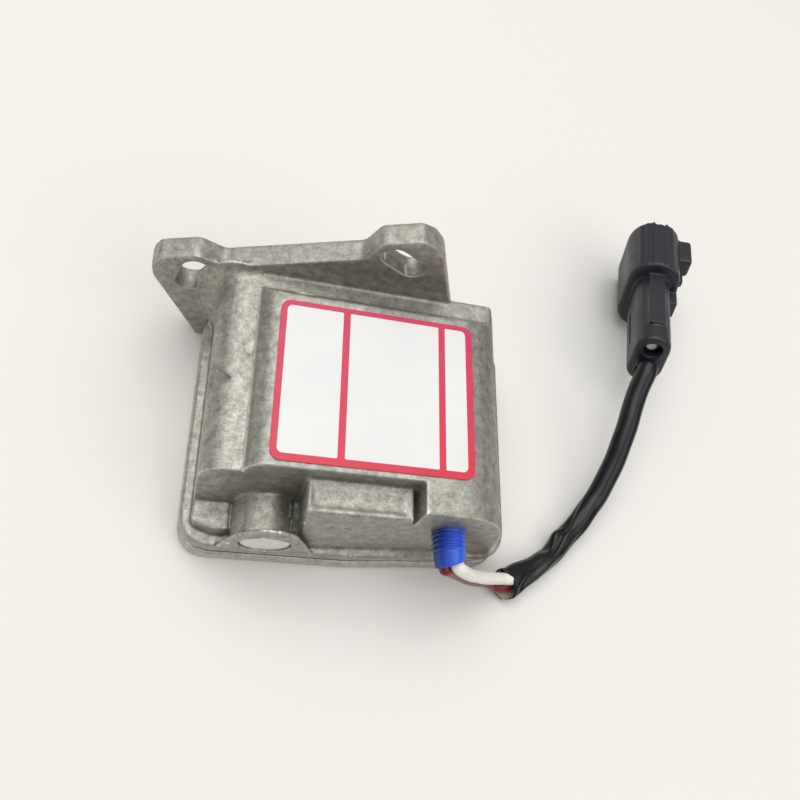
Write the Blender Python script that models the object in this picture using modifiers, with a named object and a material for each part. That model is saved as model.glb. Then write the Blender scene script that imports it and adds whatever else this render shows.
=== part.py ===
"""Engine governor actuator: die-cast housing with a tilted mounting plate, rotary magnet inside, sleeved lead and plug.

Metres, +Z up, +X right, +Y away from the front. The origin is the centre of the base cover's underside.
"""

import math

import bmesh
import bpy
from mathutils import Matrix, Vector

# Clearances, and how far cutters and joined blocks run past a surface.
GAP = 0.0003
RUNNING = 0.00005
OVER = 0.0020
EMBED = 0.0025
SHARP = math.radians(35.0)

# Magnet. Its stack sets the width of the base.
STACK_L = 0.0300
MAGNET_ROOM = 0.0350
ARMATURE_R = 0.0096
ARMATURE_WAIST = 0.0062
ARMATURE_REACH = 0.0015
MAGNET_GAP = 0.0008
CORE_H = 0.0100
STACK_FRONT = 0.0078
STATOR_LEFT = 0.0050
STATOR_RIGHT = 0.0108
STATOR_TOP = 0.0008
STATOR_ARM = 0.0032
STATOR_FOOT = 0.0060
COIL_LEFT = 0.0016
COIL_RIGHT = 0.0068
BOBBIN_WALL = 0.0014
BOBBIN_TUBE = 0.0012
BOBBIN_END_Y = 0.0068
BOBBIN_END_Z = 0.0056
WINDING_Y = 0.0060
WINDING_Z = 0.0050
PIN_R = 0.00125
PIN_FREE = 0.0002
PIN_HALF = 0.0059
STOP_R = 0.0015
STOP_OFFSET = 0.0082
STOP_ANGLE = -65.0
STOP_REACH = 0.0060

# Base stack: cover, gasket and housing flange share one outline.
BASE_LENGTH = 0.0884
BASE_BOW = 0.0030
FRONT_RADIUS = 0.0090
REAR_RADIUS = 0.0012
COVER_T = 0.0050
COVER_EDGE = 0.0008
GASKET_T = 0.0014
GASKET_INSET = 0.0008
GASKET_RIM = 0.0098
OPENING_RADIUS = 0.0020
FLANGE_T = 0.0048
FLANGE_INSET = 0.0004
SCREW_INSET = 0.0052
SCREW_R = 0.0016
SCREW_HEAD_R = 0.0024
SCREW_HEAD_H = 0.0010
SOCKET_R = 0.0011
SCREW_SHORT = 0.0014

# Housing casting.
LEFT_LEDGE = 0.0031
RIGHT_LEDGE = 0.0046
LOW_TOP = 0.0380
HIGH_TOP = 0.0440
STEP_X = 0.0130
STEP_R = 0.0056
SHOULDER_R = 0.0065
BODY_EDGE = 0.0008
RECESS_DEPTH = 0.0080
RECESS_DRAFT = 0.0017
SPLIT_INSET = 0.0336
FRONT_SETBACK = 0.0042
REAR_SLOPE = 0.0035
REAR_STRIP = 0.0081
WALL_LEFT = 0.0032
WALL_FRONT = 0.0035
WALL_RIGHT = 0.0058
WALL_REAR = 0.0033
WALL_TOP = 0.0034
CAVITY_CORNER = 0.0085
CAVITY_STEP_Z = 0.0215
CAVITY_STEP_LEFT = 0.0014
CAVITY_STEP_RIGHT = 0.0040

# Pad, corner block and thin rib in the recess.
PAD_LENGTH = 0.0270
PAD_DRAFT = 0.0014
PAD_SLOPE = 0.0025
PAD_RIM = 0.0012
PAD_SINK = 0.0005
GROOVE_W = 0.0012
GROOVE_DEPTH = 0.0040
BLOCK_FOOT = 0.0145
CORNER_PAD_Z = 0.0176
CORNER_W = 0.0091
CORNER_OUT = 0.0006
RIB_OFFSET = 0.00675
RIB_W = 0.0012

# Shaft line, measured from the left end and from the underside.
SHAFT_INSET = 0.02125
SHAFT_Z = 0.0187
BOSS_R = 0.0078
BOSS_SHIFT = 0.0006
EYE_T = 0.0012
PLUG_R = 0.00643
PLUG_T = 0.0018
BEARING_R = 0.0065
BEARING_W = 0.0047
BALL_R = 0.00078
SHAFT_R = 0.0030
SHAFT_BODY_R = 0.0040
SHAFT_TAIL = 0.0125
SPRING_WIRE = 0.0010
SPRING_CLEAR = 0.0016
SPRING_L = 0.0040
SEAL_W = 0.0030

# Mounting plate, tilted in its own plane. The ears follow their slots.
PLATE_T = 0.0063
PLATE_TILT = 23.08
PLATE_MID_X = -0.0044
PLATE_MID_Z = -0.0024
SLOT_OFFSET = 0.0274
SLOT_HEIGHT = 0.0480
SLOT_WIDTH = 0.0068
SLOT_LENGTH = 0.0134
SLOT_TILT = 35.0
EAR_RISE = 0.0083
EAR_REACH = 0.0102
EAR_WIDTH = 0.0147
TROUGH_DROP = 0.0054
PLATE_FOOT = 0.0300
ROOT_R = 0.0035
PILOT_R = 0.0120
PILOT_H = 0.0028

# Output lever.
LEVER_L = 0.0180
LEVER_T = 0.0040
LEVER_TURN = -30.0
LEVER_HUB_R = 0.0060
LEVER_END_R = 0.0040
LEVER_STAND = 0.0040
DRIVE_PIN_R = 0.0020
DRIVE_PIN_L = 0.0117
RING_R = 0.0048
RING_T = 0.0008
RING_GROOVE = 0.0005

# Label.
LABEL_L = 0.0479
LABEL_LEFT = 0.0061
LABEL_FRONT = 0.0013
LABEL_REAR = 0.0023
LABEL_T = 0.0003
LABEL_LIFT = 0.0001

# Gland and lead.
GLAND_R = 0.0042
GLAND_TAPER = 0.0003
GLAND_RIB = 0.0004
GLAND_L = 0.0075
GLAND_X = 0.0101
GLAND_Z = 0.0304
GLAND_BEND = 0.0009
GLAND_SAG = 0.0014
GLAND_TURN = 20.0
GLAND_DIP = 11.5
WHITE_D = 0.0034
RED_D = 0.0028
SLEEVE_D = 0.0064
WIRE_LEAVE = 0.0009
WHITE_EXIT = (0.0016, 0.0004)
RED_EXIT = (-0.00127, -0.00139)
SLEEVE_STAND = 0.0017
SLEEVE_DROP = 0.0006

# Plug: a racetrack hood and a narrower body behind it.
HOOD_W = 0.0167
HOOD_H = 0.0291
HOOD_L = 0.0221
HOOD_WALL = 0.0018
HOOD_FLOOR = 0.0030
TAIL_W = 0.0110
TAIL_H = 0.0200
TAIL_L = 0.0285
LOCK_OUT = 0.0040
RIB_OUT = 0.0016
TAIL_LUG_OUT = 0.0028
RIDGE_H = 0.0007
NOTCH_DEPTH = 0.0014
WIRE_PITCH = 0.0090
WIRE_BORE_R = 0.0030
WIRE_BORE_L = 0.0100
BLADE_W = 0.0028
BLADE_T = 0.0008
PLUG_YAW = 14.0
PLUG_PITCH = 10.4
PLUG_ROLL = 17.1

# Lead points and plug: x and y from the gland's root, z from the underside.
WHITE_ROUTE = [
    (0.0036, -0.00845, 0.0286),
    (0.0058, -0.0086, 0.0261),
    (0.0087, -0.0084, 0.0226),
    (0.0123, -0.0078, 0.0186),
    (0.0165, -0.0071, 0.0142),
    (0.0206, -0.0062, 0.0103),
    (0.0239, -0.0055, 0.0075),
]
RED_ROUTE = [
    (0.0008, -0.0087, 0.0267),
    (0.0035, -0.0084, 0.0235),
    (0.0062, -0.0083, 0.0204),
    (0.0099, -0.0082, 0.0163),
    (0.0142, -0.0077, 0.0118),
    (0.0185, -0.0069, 0.0078),
    (0.0218, -0.0069, 0.0053),
    (0.0237, -0.00745, 0.0045),
    (0.0255, -0.0070, 0.0041),
]
SLEEVE_ROUTE = [
    (0.0261, -0.0066, 0.0037),
    (0.0329, -0.0025, 0.0038),
    (0.0397, 0.0019, 0.0036),
    (0.0448, 0.0072, 0.0038),
    (0.0491, 0.0118, 0.0046),
    (0.0537, 0.0178, 0.0062),
    (0.0573, 0.0238, 0.0086),
    (0.0607, 0.0319, 0.0124),
    (0.0635, 0.0416, 0.0166),
    (0.0661, 0.0516, 0.0200),
    (0.0684, 0.0577, 0.0228),
]
PLUG_AT = (0.0762, 0.0892, 0.0183)

# Positions that follow from the sizes above.
BASE_WIDTH = STACK_L + MAGNET_ROOM
X0 = -BASE_LENGTH / 2
X1 = BASE_LENGTH / 2
Y0 = -BASE_WIDTH / 2
Y1 = BASE_WIDTH / 2
GASKET_Z = COVER_T + GAP
HOUSE_Z = GASKET_Z + GASKET_T + GAP
LEDGE_Z = HOUSE_Z + FLANGE_T
BODY_X0 = X0 + LEFT_LEDGE
BODY_X1 = X1 - RIGHT_LEDGE
BLOCK_SPLIT = X1 - SPLIT_INSET
FRONT_Y = Y0 + FRONT_SETBACK
RECESS_Y = FRONT_Y + RECESS_DEPTH
PLATE_Y = Y1 + 0.0004
PLATE_BACK = PLATE_Y + PLATE_T
PILOT_Y = PLATE_BACK + PILOT_H
CREST_Y = PLATE_Y - REAR_STRIP
SHAFT_X = X0 + SHAFT_INSET
BOSS_X = SHAFT_X - BOSS_SHIFT
BOSS_Y = Y0 + 0.0001
PAD_X0 = BLOCK_SPLIT - PAD_LENGTH
CAVITY_Y0 = RECESS_Y + WALL_FRONT
CAVITY_Y1 = PLATE_Y - WALL_REAR
CAVITY_TOP = LOW_TOP - WALL_TOP
BEARING_BORE = BEARING_R + GAP / 2
POCKET_Y = RECESS_Y - 0.0008
REAR_POCKET_Y = PLATE_Y + 0.0030
SEAL_Y = PLATE_BACK - 0.0010
MAGNET_R = ARMATURE_R + MAGNET_GAP
STACK_Y0 = CAVITY_Y0 + STACK_FRONT
STACK_Y1 = STACK_Y0 + STACK_L
STACK_MID = (STACK_Y0 + STACK_Y1) / 2
STATOR_X1 = BODY_X1 - STATOR_RIGHT
EAR_TOP = SLOT_HEIGHT + EAR_RISE
PLATE_HALF = SLOT_OFFSET + EAR_REACH
LEVER_Y = PILOT_Y + LEVER_STAND
GLAND_AT = Vector((BLOCK_SPLIT + GLAND_X, FRONT_Y, 0.0))

CAST = ((0.52, 0.51, 0.49), 1.0, 0.55)
STEEL = ((0.60, 0.60, 0.61), 1.0, 0.30)
DARK_STEEL = ((0.22, 0.22, 0.24), 1.0, 0.45)
COPPER = ((0.55, 0.24, 0.10), 1.0, 0.35)
BRASS = ((0.72, 0.55, 0.25), 1.0, 0.30)
BLACK = ((0.03, 0.03, 0.035), 0.0, 0.50)
BLUE = ((0.03, 0.08, 0.55), 0.0, 0.35)
WHITE = ((0.80, 0.79, 0.76), 0.0, 0.45)
RED = ((0.45, 0.03, 0.04), 0.0, 0.40)
PAPER = ((0.78, 0.20, 0.28), 0.0, 0.45)

# How a flat outline is turned so that its thickness runs along x, y or z.
TURN = {
    "x": Matrix(((0, 0, 1, 0), (1, 0, 0, 0), (0, 1, 0, 0), (0, 0, 0, 1))),
    "y": Matrix(((1, 0, 0, 0), (0, 0, -1, 0), (0, 1, 0, 0), (0, 0, 0, 1))),
    "z": Matrix.Identity(4),
}
ALONG = {"x": Vector((1, 0, 0)), "y": Vector((0, 1, 0)), "z": Vector((0, 0, 1))}

parts = bpy.data.collections.new("engine_governor_actuator")
cutters = bpy.data.collections.new("cutters")


def clear_scene():
    for obj in list(bpy.data.objects):
        bpy.data.objects.remove(obj, do_unlink=True)


def link_collections():
    bpy.context.scene.collection.children.link(parts)
    bpy.context.scene.collection.children.link(cutters)


def paint(obj, colour, metallic, roughness):
    mat = bpy.data.materials.new(obj.name + "_finish")
    mat.use_nodes = True
    shader = mat.node_tree.nodes["Principled BSDF"]
    shader.inputs["Base Color"].default_value = (*colour, 1.0)
    shader.inputs["Metallic"].default_value = metallic
    shader.inputs["Roughness"].default_value = roughness
    obj.data.materials.append(mat)


def place_object(name, data, finish, place):
    """Links an object. With no finish it is a cutter or a block to join, kept out of the render."""
    obj = bpy.data.objects.new(name, data)
    obj.matrix_world = place
    if finish is None:
        obj.hide_render = True
        obj.display_type = "WIRE"
        cutters.objects.link(obj)
    else:
        parts.objects.link(obj)
        paint(obj, *finish)
    return obj


def solid(name, work, finish, place):
    """An object from a bmesh, with outward normals and smooth round faces."""
    bmesh.ops.recalc_face_normals(work, faces=work.faces)
    mesh = bpy.data.meshes.new(name)
    work.to_mesh(mesh)
    work.free()
    mesh.shade_smooth()
    mesh.set_sharp_from_angle(angle=SHARP)
    return place_object(name, mesh, finish, place)


def box(name, x, y, z, finish=None, place=Matrix.Identity(4)):
    size = (x[1] - x[0], y[1] - y[0], z[1] - z[0])
    middle = ((x[0] + x[1]) / 2, (y[0] + y[1]) / 2, (z[0] + z[1]) / 2)
    shape = Matrix.Translation(middle) @ Matrix.Diagonal((*size, 1.0))
    work = bmesh.new()
    bmesh.ops.create_cube(work, size=1.0, matrix=shape)
    return solid(name, work, finish, place)


def rod(name, start, end, radius, steps, finish=None, place=Matrix.Identity(4)):
    """A cylinder between two points."""
    line = Vector(end) - Vector(start)
    turn = line.to_track_quat("Z", "Y").to_matrix().to_4x4()
    shape = Matrix.Translation(Vector(start) + line / 2) @ turn
    work = bmesh.new()
    bmesh.ops.create_cone(
        work,
        cap_ends=True,
        segments=steps,
        radius1=radius,
        radius2=radius,
        depth=line.length,
        matrix=shape,
    )
    return solid(name, work, finish, place)


def balls(name, centres, radius):
    """Small balls in one object."""
    work = bmesh.new()
    for centre in centres:
        bmesh.ops.create_uvsphere(
            work,
            u_segments=6,
            v_segments=4,
            radius=radius,
            matrix=Matrix.Translation(centre),
        )
    return solid(name, work, None, Matrix.Identity(4))


def slab_mesh(name, outline, thickness):
    """The mesh of a flat curve, filled on both sides, with its caps welded on."""
    curve = bpy.data.curves.new(name, "CURVE")
    curve.dimensions = "2D"
    curve.fill_mode = "BOTH"
    curve.extrude = thickness / 2
    spline = curve.splines.new("POLY")
    spline.points.add(len(outline) - 1)
    for point, (u, v) in zip(spline.points, outline):
        point.co = (u, v, 0.0, 1.0)
    spline.use_cyclic_u = True
    shape = bpy.data.objects.new(name, curve)
    mesh = bpy.data.meshes.new_from_object(shape)
    bpy.data.objects.remove(shape, do_unlink=True)
    work = bmesh.new()
    work.from_mesh(mesh)
    bpy.data.meshes.remove(mesh)
    bmesh.ops.remove_doubles(work, verts=work.verts, dist=0.000001)
    bmesh.ops.dissolve_limit(work, angle_limit=0.002, verts=work.verts, edges=work.edges)
    return work


def slab(name, outline, low, high, axis="z", finish=None, place=Matrix.Identity(4)):
    """A flat outline made solid between two heights along an axis."""
    work = slab_mesh(name, outline, high - low)
    middle = Matrix.Translation(ALONG[axis] * (low + high) / 2)
    return solid(name, work, finish, place @ middle @ TURN[axis])


def loft(name, loops, finish=None):
    """A closed solid through unlike sections of equal point count, capped at both ends."""
    work = bmesh.new()
    rows = [[work.verts.new(p) for p in loop] for loop in loops]
    for row, after in zip(rows, rows[1:]):
        for i in range(len(row)):
            work.faces.new((row[i - 1], row[i], after[i], after[i - 1]))
    work.faces.new(rows[0])
    work.faces.new(rows[-1])
    return solid(name, work, finish, Matrix.Identity(4))


def arc(cx, cy, radius, start, end, steps):
    """Points of an arc, with angles in degrees."""
    points = []
    for k in range(steps + 1):
        a = math.radians(start + (end - start) * k / steps)
        points.append((cx + radius * math.cos(a), cy + radius * math.sin(a)))
    return points


def rounded(corners, steps=4):
    """A polygon whose corners (x, y, radius) are filleted."""
    points = []
    count = len(corners)
    for k, (x, y, radius) in enumerate(corners):
        here = Vector((x, y))
        back = Vector(corners[k - 1][:2]) - here
        ahead = Vector(corners[(k + 1) % count][:2]) - here
        if radius == 0:
            points.append((x, y))
            continue
        reach = radius / math.tan(back.angle(ahead) / 2)
        start = here + back.normalized() * reach
        end = here + ahead.normalized() * reach
        for i in range(steps + 1):
            t = i / steps
            p = (1 - t) ** 2 * start + 2 * t * (1 - t) * here + t**2 * end
            points.append((p.x, p.y))
    return points


def racetrack(width, height, steps=10):
    """A tall slot outline with round ends, centred on the origin."""
    r = width / 2
    straight = height / 2 - r
    return arc(0, straight, r, 0, 180, steps) + arc(0, -straight, r, 180, 360, steps)


def bevel(obj, width, segments=2, angle=35):
    mod = obj.modifiers.new("Bevel", "BEVEL")
    mod.width = width
    mod.segments = segments
    mod.limit_method = "ANGLE"
    mod.angle_limit = math.radians(angle)
    return obj


def mirror(obj):
    """Repeats an object across its own x = 0 plane."""
    mod = obj.modifiers.new("Mirror", "MIRROR")
    mod.merge_threshold = 0.000001
    return obj


def combine(obj, others, operation):
    for other in others:
        mod = obj.modifiers.new(other.name, "BOOLEAN")
        mod.operation = operation
        mod.solver = "EXACT"
        mod.object = other
    return obj


def cut(obj, *others):
    return combine(obj, others, "DIFFERENCE")


def join(obj, *others):
    return combine(obj, others, "UNION")


def turned(name, profile, origin, direction, steps=24, finish=None):
    """A turned solid: (radius, height) points spun about the direction by a Screw modifier."""
    pairs = zip(profile, profile[1:] + profile[:1])
    if sum(a[0] * b[1] - b[0] * a[1] for a, b in pairs) > 0:
        profile = profile[::-1]
    edges = [(k, k + 1) for k in range(len(profile) - 1)]
    if profile[0][0] > 0 or profile[-1][0] > 0:
        edges.append((len(profile) - 1, 0))
    mesh = bpy.data.meshes.new(name)
    mesh.from_pydata([(r, 0.0, h) for r, h in profile], edges, [])
    turn = Vector(direction).to_track_quat("Z", "Y").to_matrix().to_4x4()
    obj = place_object(name, mesh, finish, Matrix.Translation(origin) @ turn)
    screw = obj.modifiers.new("Screw", "SCREW")
    screw.steps = steps
    screw.render_steps = steps
    screw.use_merge_vertices = True
    screw.merge_threshold = 0.000001
    return obj


def on_shaft(name, profile, start=0.0, steps=24, finish=None):
    """A turned solid on the shaft line, with its heights along y."""
    return turned(name, profile, (SHAFT_X, start, SHAFT_Z), (0, 1, 0), steps, finish)


def shaft_rod(name, radius, low, high, steps, finish=None):
    return rod(name, (SHAFT_X, low, SHAFT_Z), (SHAFT_X, high, SHAFT_Z), radius, steps, finish)


def smooth_route(points, spacing):
    """Points along a smooth curve through the given ones, about one spacing apart."""
    pts = [Vector(p) for p in points]
    pts = [2 * pts[0] - pts[1]] + pts + [2 * pts[-1] - pts[-2]]
    out = []
    for k in range(1, len(pts) - 2):
        p0, p1, p2, p3 = pts[k - 1 : k + 3]
        steps = math.ceil((p2 - p1).length / spacing)
        for i in range(steps):
            t = i / steps
            a = 2 * p1 + (p2 - p0) * t
            b = (2 * p0 - 5 * p1 + 4 * p2 - p3) * t**2
            c = (3 * p1 - p0 - 3 * p2 + p3) * t**3
            out.append((a + b + c) / 2)
    out.append(pts[-2])
    return out


def tube(name, points, diameter, finish, resolution=2):
    curve = bpy.data.curves.new(name, "CURVE")
    curve.dimensions = "3D"
    curve.bevel_depth = diameter / 2
    curve.bevel_resolution = resolution
    curve.use_fill_caps = True
    spline = curve.splines.new("POLY")
    spline.points.add(len(points) - 1)
    for point, target in zip(spline.points, points):
        point.co = (*target, 1.0)
    return place_object(name, curve, finish, Matrix.Identity(4))


def base_outline(inset, front=FRONT_RADIUS, rear=REAR_RADIUS):
    """The outline of the base stack, a little bowed at the front."""
    corners = [
        (X0 + inset, Y0 + inset, front),
        (0.0, Y0 + inset, 0),
        (X1 - inset, Y0 + BASE_BOW + inset, front),
        (X1 - inset, Y1 - inset, rear),
        (X0 + inset, Y1 - inset, rear),
    ]
    return rounded(corners, 7)


def screw_places():
    d = SCREW_INSET
    return [(X0 + d, Y0 + d), (X1 - d, Y0 + BASE_BOW + d), (X1 - d, Y1 - d), (X0 + d, Y1 - d)]


def screw_hole(name, at, low, high):
    return rod(name, (*at, low), (*at, high), SCREW_R + GAP, 20)


def build_cover():
    cover = slab("base_cover", base_outline(0.0), 0.0, COVER_T, "z", CAST)
    bevel(cover, COVER_EDGE)
    hole = SCREW_R + GAP
    sink = SCREW_HEAD_R + GAP * 2 + SCREW_HEAD_H
    profile = [(0, -SCREW_HEAD_H), (sink, -SCREW_HEAD_H), (hole, sink - hole - SCREW_HEAD_H)]
    profile += [(hole, COVER_T + OVER), (0, COVER_T + OVER)]
    for k, (x, y) in enumerate(screw_places()):
        cut(cover, turned(f"cover_hole_{k + 1}", profile, (x, y, 0), (0, 0, 1), 20))


def build_gasket():
    outline = base_outline(GASKET_INSET)
    gasket = slab("gasket", outline, GASKET_Z, GASKET_Z + GASKET_T, "z", BLACK)
    opening = base_outline(GASKET_RIM, OPENING_RADIUS, OPENING_RADIUS)
    cut(gasket, slab("gasket_opening", opening, GASKET_Z - OVER, HOUSE_Z + OVER))
    for k, at in enumerate(screw_places()):
        cut(gasket, screw_hole(f"gasket_hole_{k + 1}", at, GASKET_Z - OVER, HOUSE_Z + OVER))


def build_screws():
    top = LEDGE_Z - SCREW_SHORT
    tip = SCREW_R - GAP
    low = GAP
    profile = [(0, low), (SCREW_HEAD_R, low), (SCREW_R, low + SCREW_HEAD_H)]
    profile += [(SCREW_R, top - GAP), (tip, top), (0, top)]
    for k, (x, y) in enumerate(screw_places()):
        screw = turned(f"cover_screw_{k + 1}", profile, (x, y, 0), (0, 0, 1), 16, STEEL)
        bottom = (x, y, -OVER)
        cut(screw, rod(f"screw_socket_{k + 1}", bottom, (x, y, SCREW_HEAD_H), SOCKET_R, 6))


def right_profile():
    """The drafted right wall and its wide shoulder, from the foot up to the high top."""
    shape = [
        (0.0, 0.0),
        (-0.053, 0.202),
        (-0.085, 0.364),
        (-0.111, 0.484),
        (-0.141, 0.592),
        (-0.179, 0.704),
        (-0.223, 0.795),
        (-0.276, 0.868),
        (-0.334, 0.927),
        (-0.405, 0.968),
        (-0.499, 0.994),
        (-0.587, 1.0),
    ]
    foot = LEDGE_Z - EMBED
    rise = HIGH_TOP - foot
    return [(BODY_X1 + x * rise, foot + z * rise) for x, z in shape]


def main_outline():
    low = LEDGE_Z - EMBED
    step = X0 + STEP_X
    left = arc(BODY_X0 + SHOULDER_R, LOW_TOP - SHOULDER_R, SHOULDER_R, 180, 90, 6)
    crown = arc(step + STEP_R, HIGH_TOP - STEP_R, STEP_R, 180, 90, 6)
    right = right_profile()[::-1]
    return [(BODY_X0, low), *left, (step, LOW_TOP), *crown, *right]


def recess_cutter():
    """The front left recess, whose wall leans out towards its foot."""
    out = Y0 - EMBED
    outline = [
        (out, LEDGE_Z - EMBED - OVER),
        (RECESS_Y - RECESS_DRAFT, LEDGE_Z - EMBED - OVER),
        (RECESS_Y - RECESS_DRAFT, CORNER_PAD_Z),
        (RECESS_Y, LOW_TOP - WALL_TOP),
        (RECESS_Y, HIGH_TOP + OVER),
        (out, HIGH_TOP + OVER),
    ]
    return slab("recess", outline, X0 - OVER, BLOCK_SPLIT, "x")


def strip_cutter():
    """The low strip in front of the plate, with its sloping edge."""
    outline = [
        (CREST_Y, HIGH_TOP + OVER),
        (CREST_Y, HIGH_TOP),
        (CREST_Y + REAR_SLOPE, LOW_TOP),
        (PLATE_BACK, LOW_TOP),
        (PLATE_BACK, HIGH_TOP + OVER),
    ]
    return slab("strip", outline, X0 - OVER, X1 + OVER, "x")


def pad_block():
    """The block between the boss and the lead, wider at its foot."""
    low = LEDGE_Z - EMBED
    inner = RECESS_Y + OVER
    right = BLOCK_SPLIT + BLOCK_FOOT
    foot = [
        (PAD_X0 + PAD_DRAFT, FRONT_Y - PAD_SLOPE, low),
        (right, FRONT_Y - GAP / 2, low),
        (right, inner, low),
        (PAD_X0 + PAD_DRAFT, inner, low),
    ]
    top = [
        (PAD_X0, FRONT_Y - GAP, LOW_TOP),
        (BLOCK_SPLIT + OVER, FRONT_Y - GAP / 2, LOW_TOP),
        (BLOCK_SPLIT + OVER, inner, LOW_TOP),
        (PAD_X0, inner, LOW_TOP),
    ]
    return bevel(loft("pad", [foot, top]), BODY_EDGE)


def pad_cutters():
    """The sunk field inside the pad's rim, and the groove between the pad and the right block."""
    edge = BLOCK_SPLIT - GROOVE_W
    field = box(
        "pad_field",
        (PAD_X0 + PAD_RIM, edge - PAD_RIM),
        (FRONT_Y + PAD_RIM, RECESS_Y - PAD_RIM),
        (LOW_TOP - PAD_SINK, LOW_TOP + OVER),
    )
    groove = box(
        "pad_groove",
        (edge, BLOCK_SPLIT),
        (FRONT_Y - OVER, RECESS_Y - GAP),
        (LOW_TOP - GROOVE_DEPTH, LOW_TOP + OVER),
    )
    return field, groove


def corner_block():
    inner = RECESS_Y + OVER
    front = FRONT_Y - CORNER_OUT
    right = BODY_X0 + CORNER_W
    outline = [
        (BODY_X0, front + 0.0018, 0.0015),
        (BODY_X0 + 0.0050, front, 0.0015),
        (right, front, 0.0005),
        (right, inner, 0),
        (BODY_X0, inner, 0),
    ]
    return bevel(slab("corner_block", rounded(outline), LEDGE_Z - EMBED, CORNER_PAD_Z), BODY_EDGE)


def thin_rib():
    x = SHAFT_X + RIB_OFFSET
    rib = box(
        "thin_rib",
        (x, x + RIB_W),
        (FRONT_Y + GAP, RECESS_Y + OVER),
        (LEDGE_Z - EMBED, CORNER_PAD_Z),
    )
    return bevel(rib, GAP)


def eye_outline():
    """The front face of the boss: a lens with its tips pulled down to the flange."""
    low = LEDGE_Z - EMBED
    corners = [
        (SHAFT_X - 0.0122, low, 0),
        (SHAFT_X - 0.01015, SHAFT_Z - 0.0011, 0.0030),
        (SHAFT_X - 0.0078, SHAFT_Z + 0.0064, 0.0060),
        (SHAFT_X - 0.0020, SHAFT_Z + 0.0127, 0.0030),
        (SHAFT_X + 0.0026, SHAFT_Z + 0.0122, 0.0040),
        (SHAFT_X + 0.0067, SHAFT_Z + 0.0092, 0.0060),
        (SHAFT_X + 0.00995, SHAFT_Z + 0.0012, 0.0040),
        (SHAFT_X + 0.0140, low, 0),
    ]
    return rounded(corners, 3)


def bearing_boss():
    """The barrel round the front bearing, the block under it and the eye in front."""
    back = RECESS_Y + OVER
    start = (BOSS_X, BOSS_Y + EYE_T / 2, SHAFT_Z)
    barrel = rod("boss", start, (BOSS_X, back, SHAFT_Z), BOSS_R, 36)
    block = box(
        "boss_block",
        (BOSS_X - BOSS_R, BOSS_X + BOSS_R),
        (BOSS_Y + EYE_T / 2, RECESS_Y),
        (LEDGE_Z - EMBED, SHAFT_Z),
    )
    eye = bevel(slab("boss_eye", eye_outline(), BOSS_Y, BOSS_Y + EYE_T, "y"), GAP, 1)
    return barrel, block, eye


def plate_matrix():
    """Plate axes: first across the ears, second up the plate, third towards the body."""
    a = math.radians(PLATE_TILT)
    across = Vector((math.cos(a), 0, math.sin(a)))
    up = Vector((-math.sin(a), 0, math.cos(a)))
    place = Matrix((across, up, (0, -1, 0))).transposed().to_4x4()
    place.translation = Vector((PLATE_MID_X, PLATE_Y + PLATE_T / 2, PLATE_MID_Z))
    return place


def half_plate_outline():
    ear = PLATE_HALF - EAR_WIDTH
    trough = EAR_TOP - TROUGH_DROP
    corners = [
        (0.0, -PLATE_FOOT, 0),
        (PLATE_HALF, -PLATE_FOOT, 0),
        (PLATE_HALF, EAR_TOP - 0.0070, 0.0030),
        (PLATE_HALF - 0.0015, EAR_TOP - 0.0026, 0.0030),
        (PLATE_HALF - 0.0045, EAR_TOP, 0.0010),
        (ear, EAR_TOP, 0.0025),
        (ear - 0.0049, trough, 0.0025),
        (0.0, trough, 0),
    ]
    return rounded(corners)


def build_plate():
    """The tilted plate, a mirrored half, cut level just above the table."""
    work = slab_mesh("plate", half_plate_outline(), PLATE_T)
    inner = [f for f in work.faces if all(abs(v.co.x) < 0.000001 for v in f.verts)]
    bmesh.ops.delete(work, geom=inner, context="FACES_ONLY")
    plate = mirror(solid("plate", work, None, plate_matrix()))
    bevel(plate, GAP, 1, 50)
    side = BASE_LENGTH
    foot = box("plate_foot", (-side, side), (PLATE_Y - OVER, PLATE_BACK + OVER), (-side, GAP * 2))
    return cut(plate, foot)


def slot_cutter():
    """Both ear slots as one mirrored cutter."""
    turn = math.radians(SLOT_TILT)
    outline = []
    for x, y in racetrack(SLOT_WIDTH, SLOT_LENGTH, 10):
        u = x * math.cos(turn) - y * math.sin(turn) + SLOT_OFFSET
        v = x * math.sin(turn) + y * math.cos(turn) + SLOT_HEIGHT
        outline.append((u, v))
    reach = PLATE_T / 2 + OVER
    return mirror(slab("ear_slots", outline, -reach, reach, "z", None, plate_matrix()))


def plate_root():
    """The fillet that carries the left wall and its shoulder into the plate."""
    cx = BODY_X0 + SHOULDER_R
    cz = LOW_TOP - SHOULDER_R
    low = LEDGE_Z - EMBED
    loops = []
    steps = 5
    for k in range(steps + 2):
        t = min(k, steps) / steps
        grow = ROOT_R * (1 - math.sqrt(1 - t * t)) - GAP * (1 - t)
        y = PLATE_Y - ROOT_R * (1 - k / steps)
        loop = [(cx, y, cz), (cx, y, low), (BODY_X0 - grow, y, low)]
        for j in range(7):
            a = math.radians(180 - 13 * j)
            radius = SHOULDER_R + grow * abs(math.cos(a)) - GAP * (1 - t)
            loop.append((cx + radius * math.cos(a), y, cz + radius * math.sin(a)))
        loops.append(loop)
    return loft("plate_root", loops)


def cavity_plan(x0, right):
    split = BLOCK_SPLIT + WALL_LEFT
    front = FRONT_Y + WALL_REAR
    corner = CAVITY_CORNER
    return [
        (x0, CAVITY_Y0),
        (split, CAVITY_Y0),
        (split, front),
        (right - corner / 2, front),
        (right, front + corner / 2),
        (right, CAVITY_Y1 - corner),
        (right - corner, CAVITY_Y1),
        (x0 + corner, CAVITY_Y1),
        (x0, CAVITY_Y1 - corner),
    ]


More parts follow.
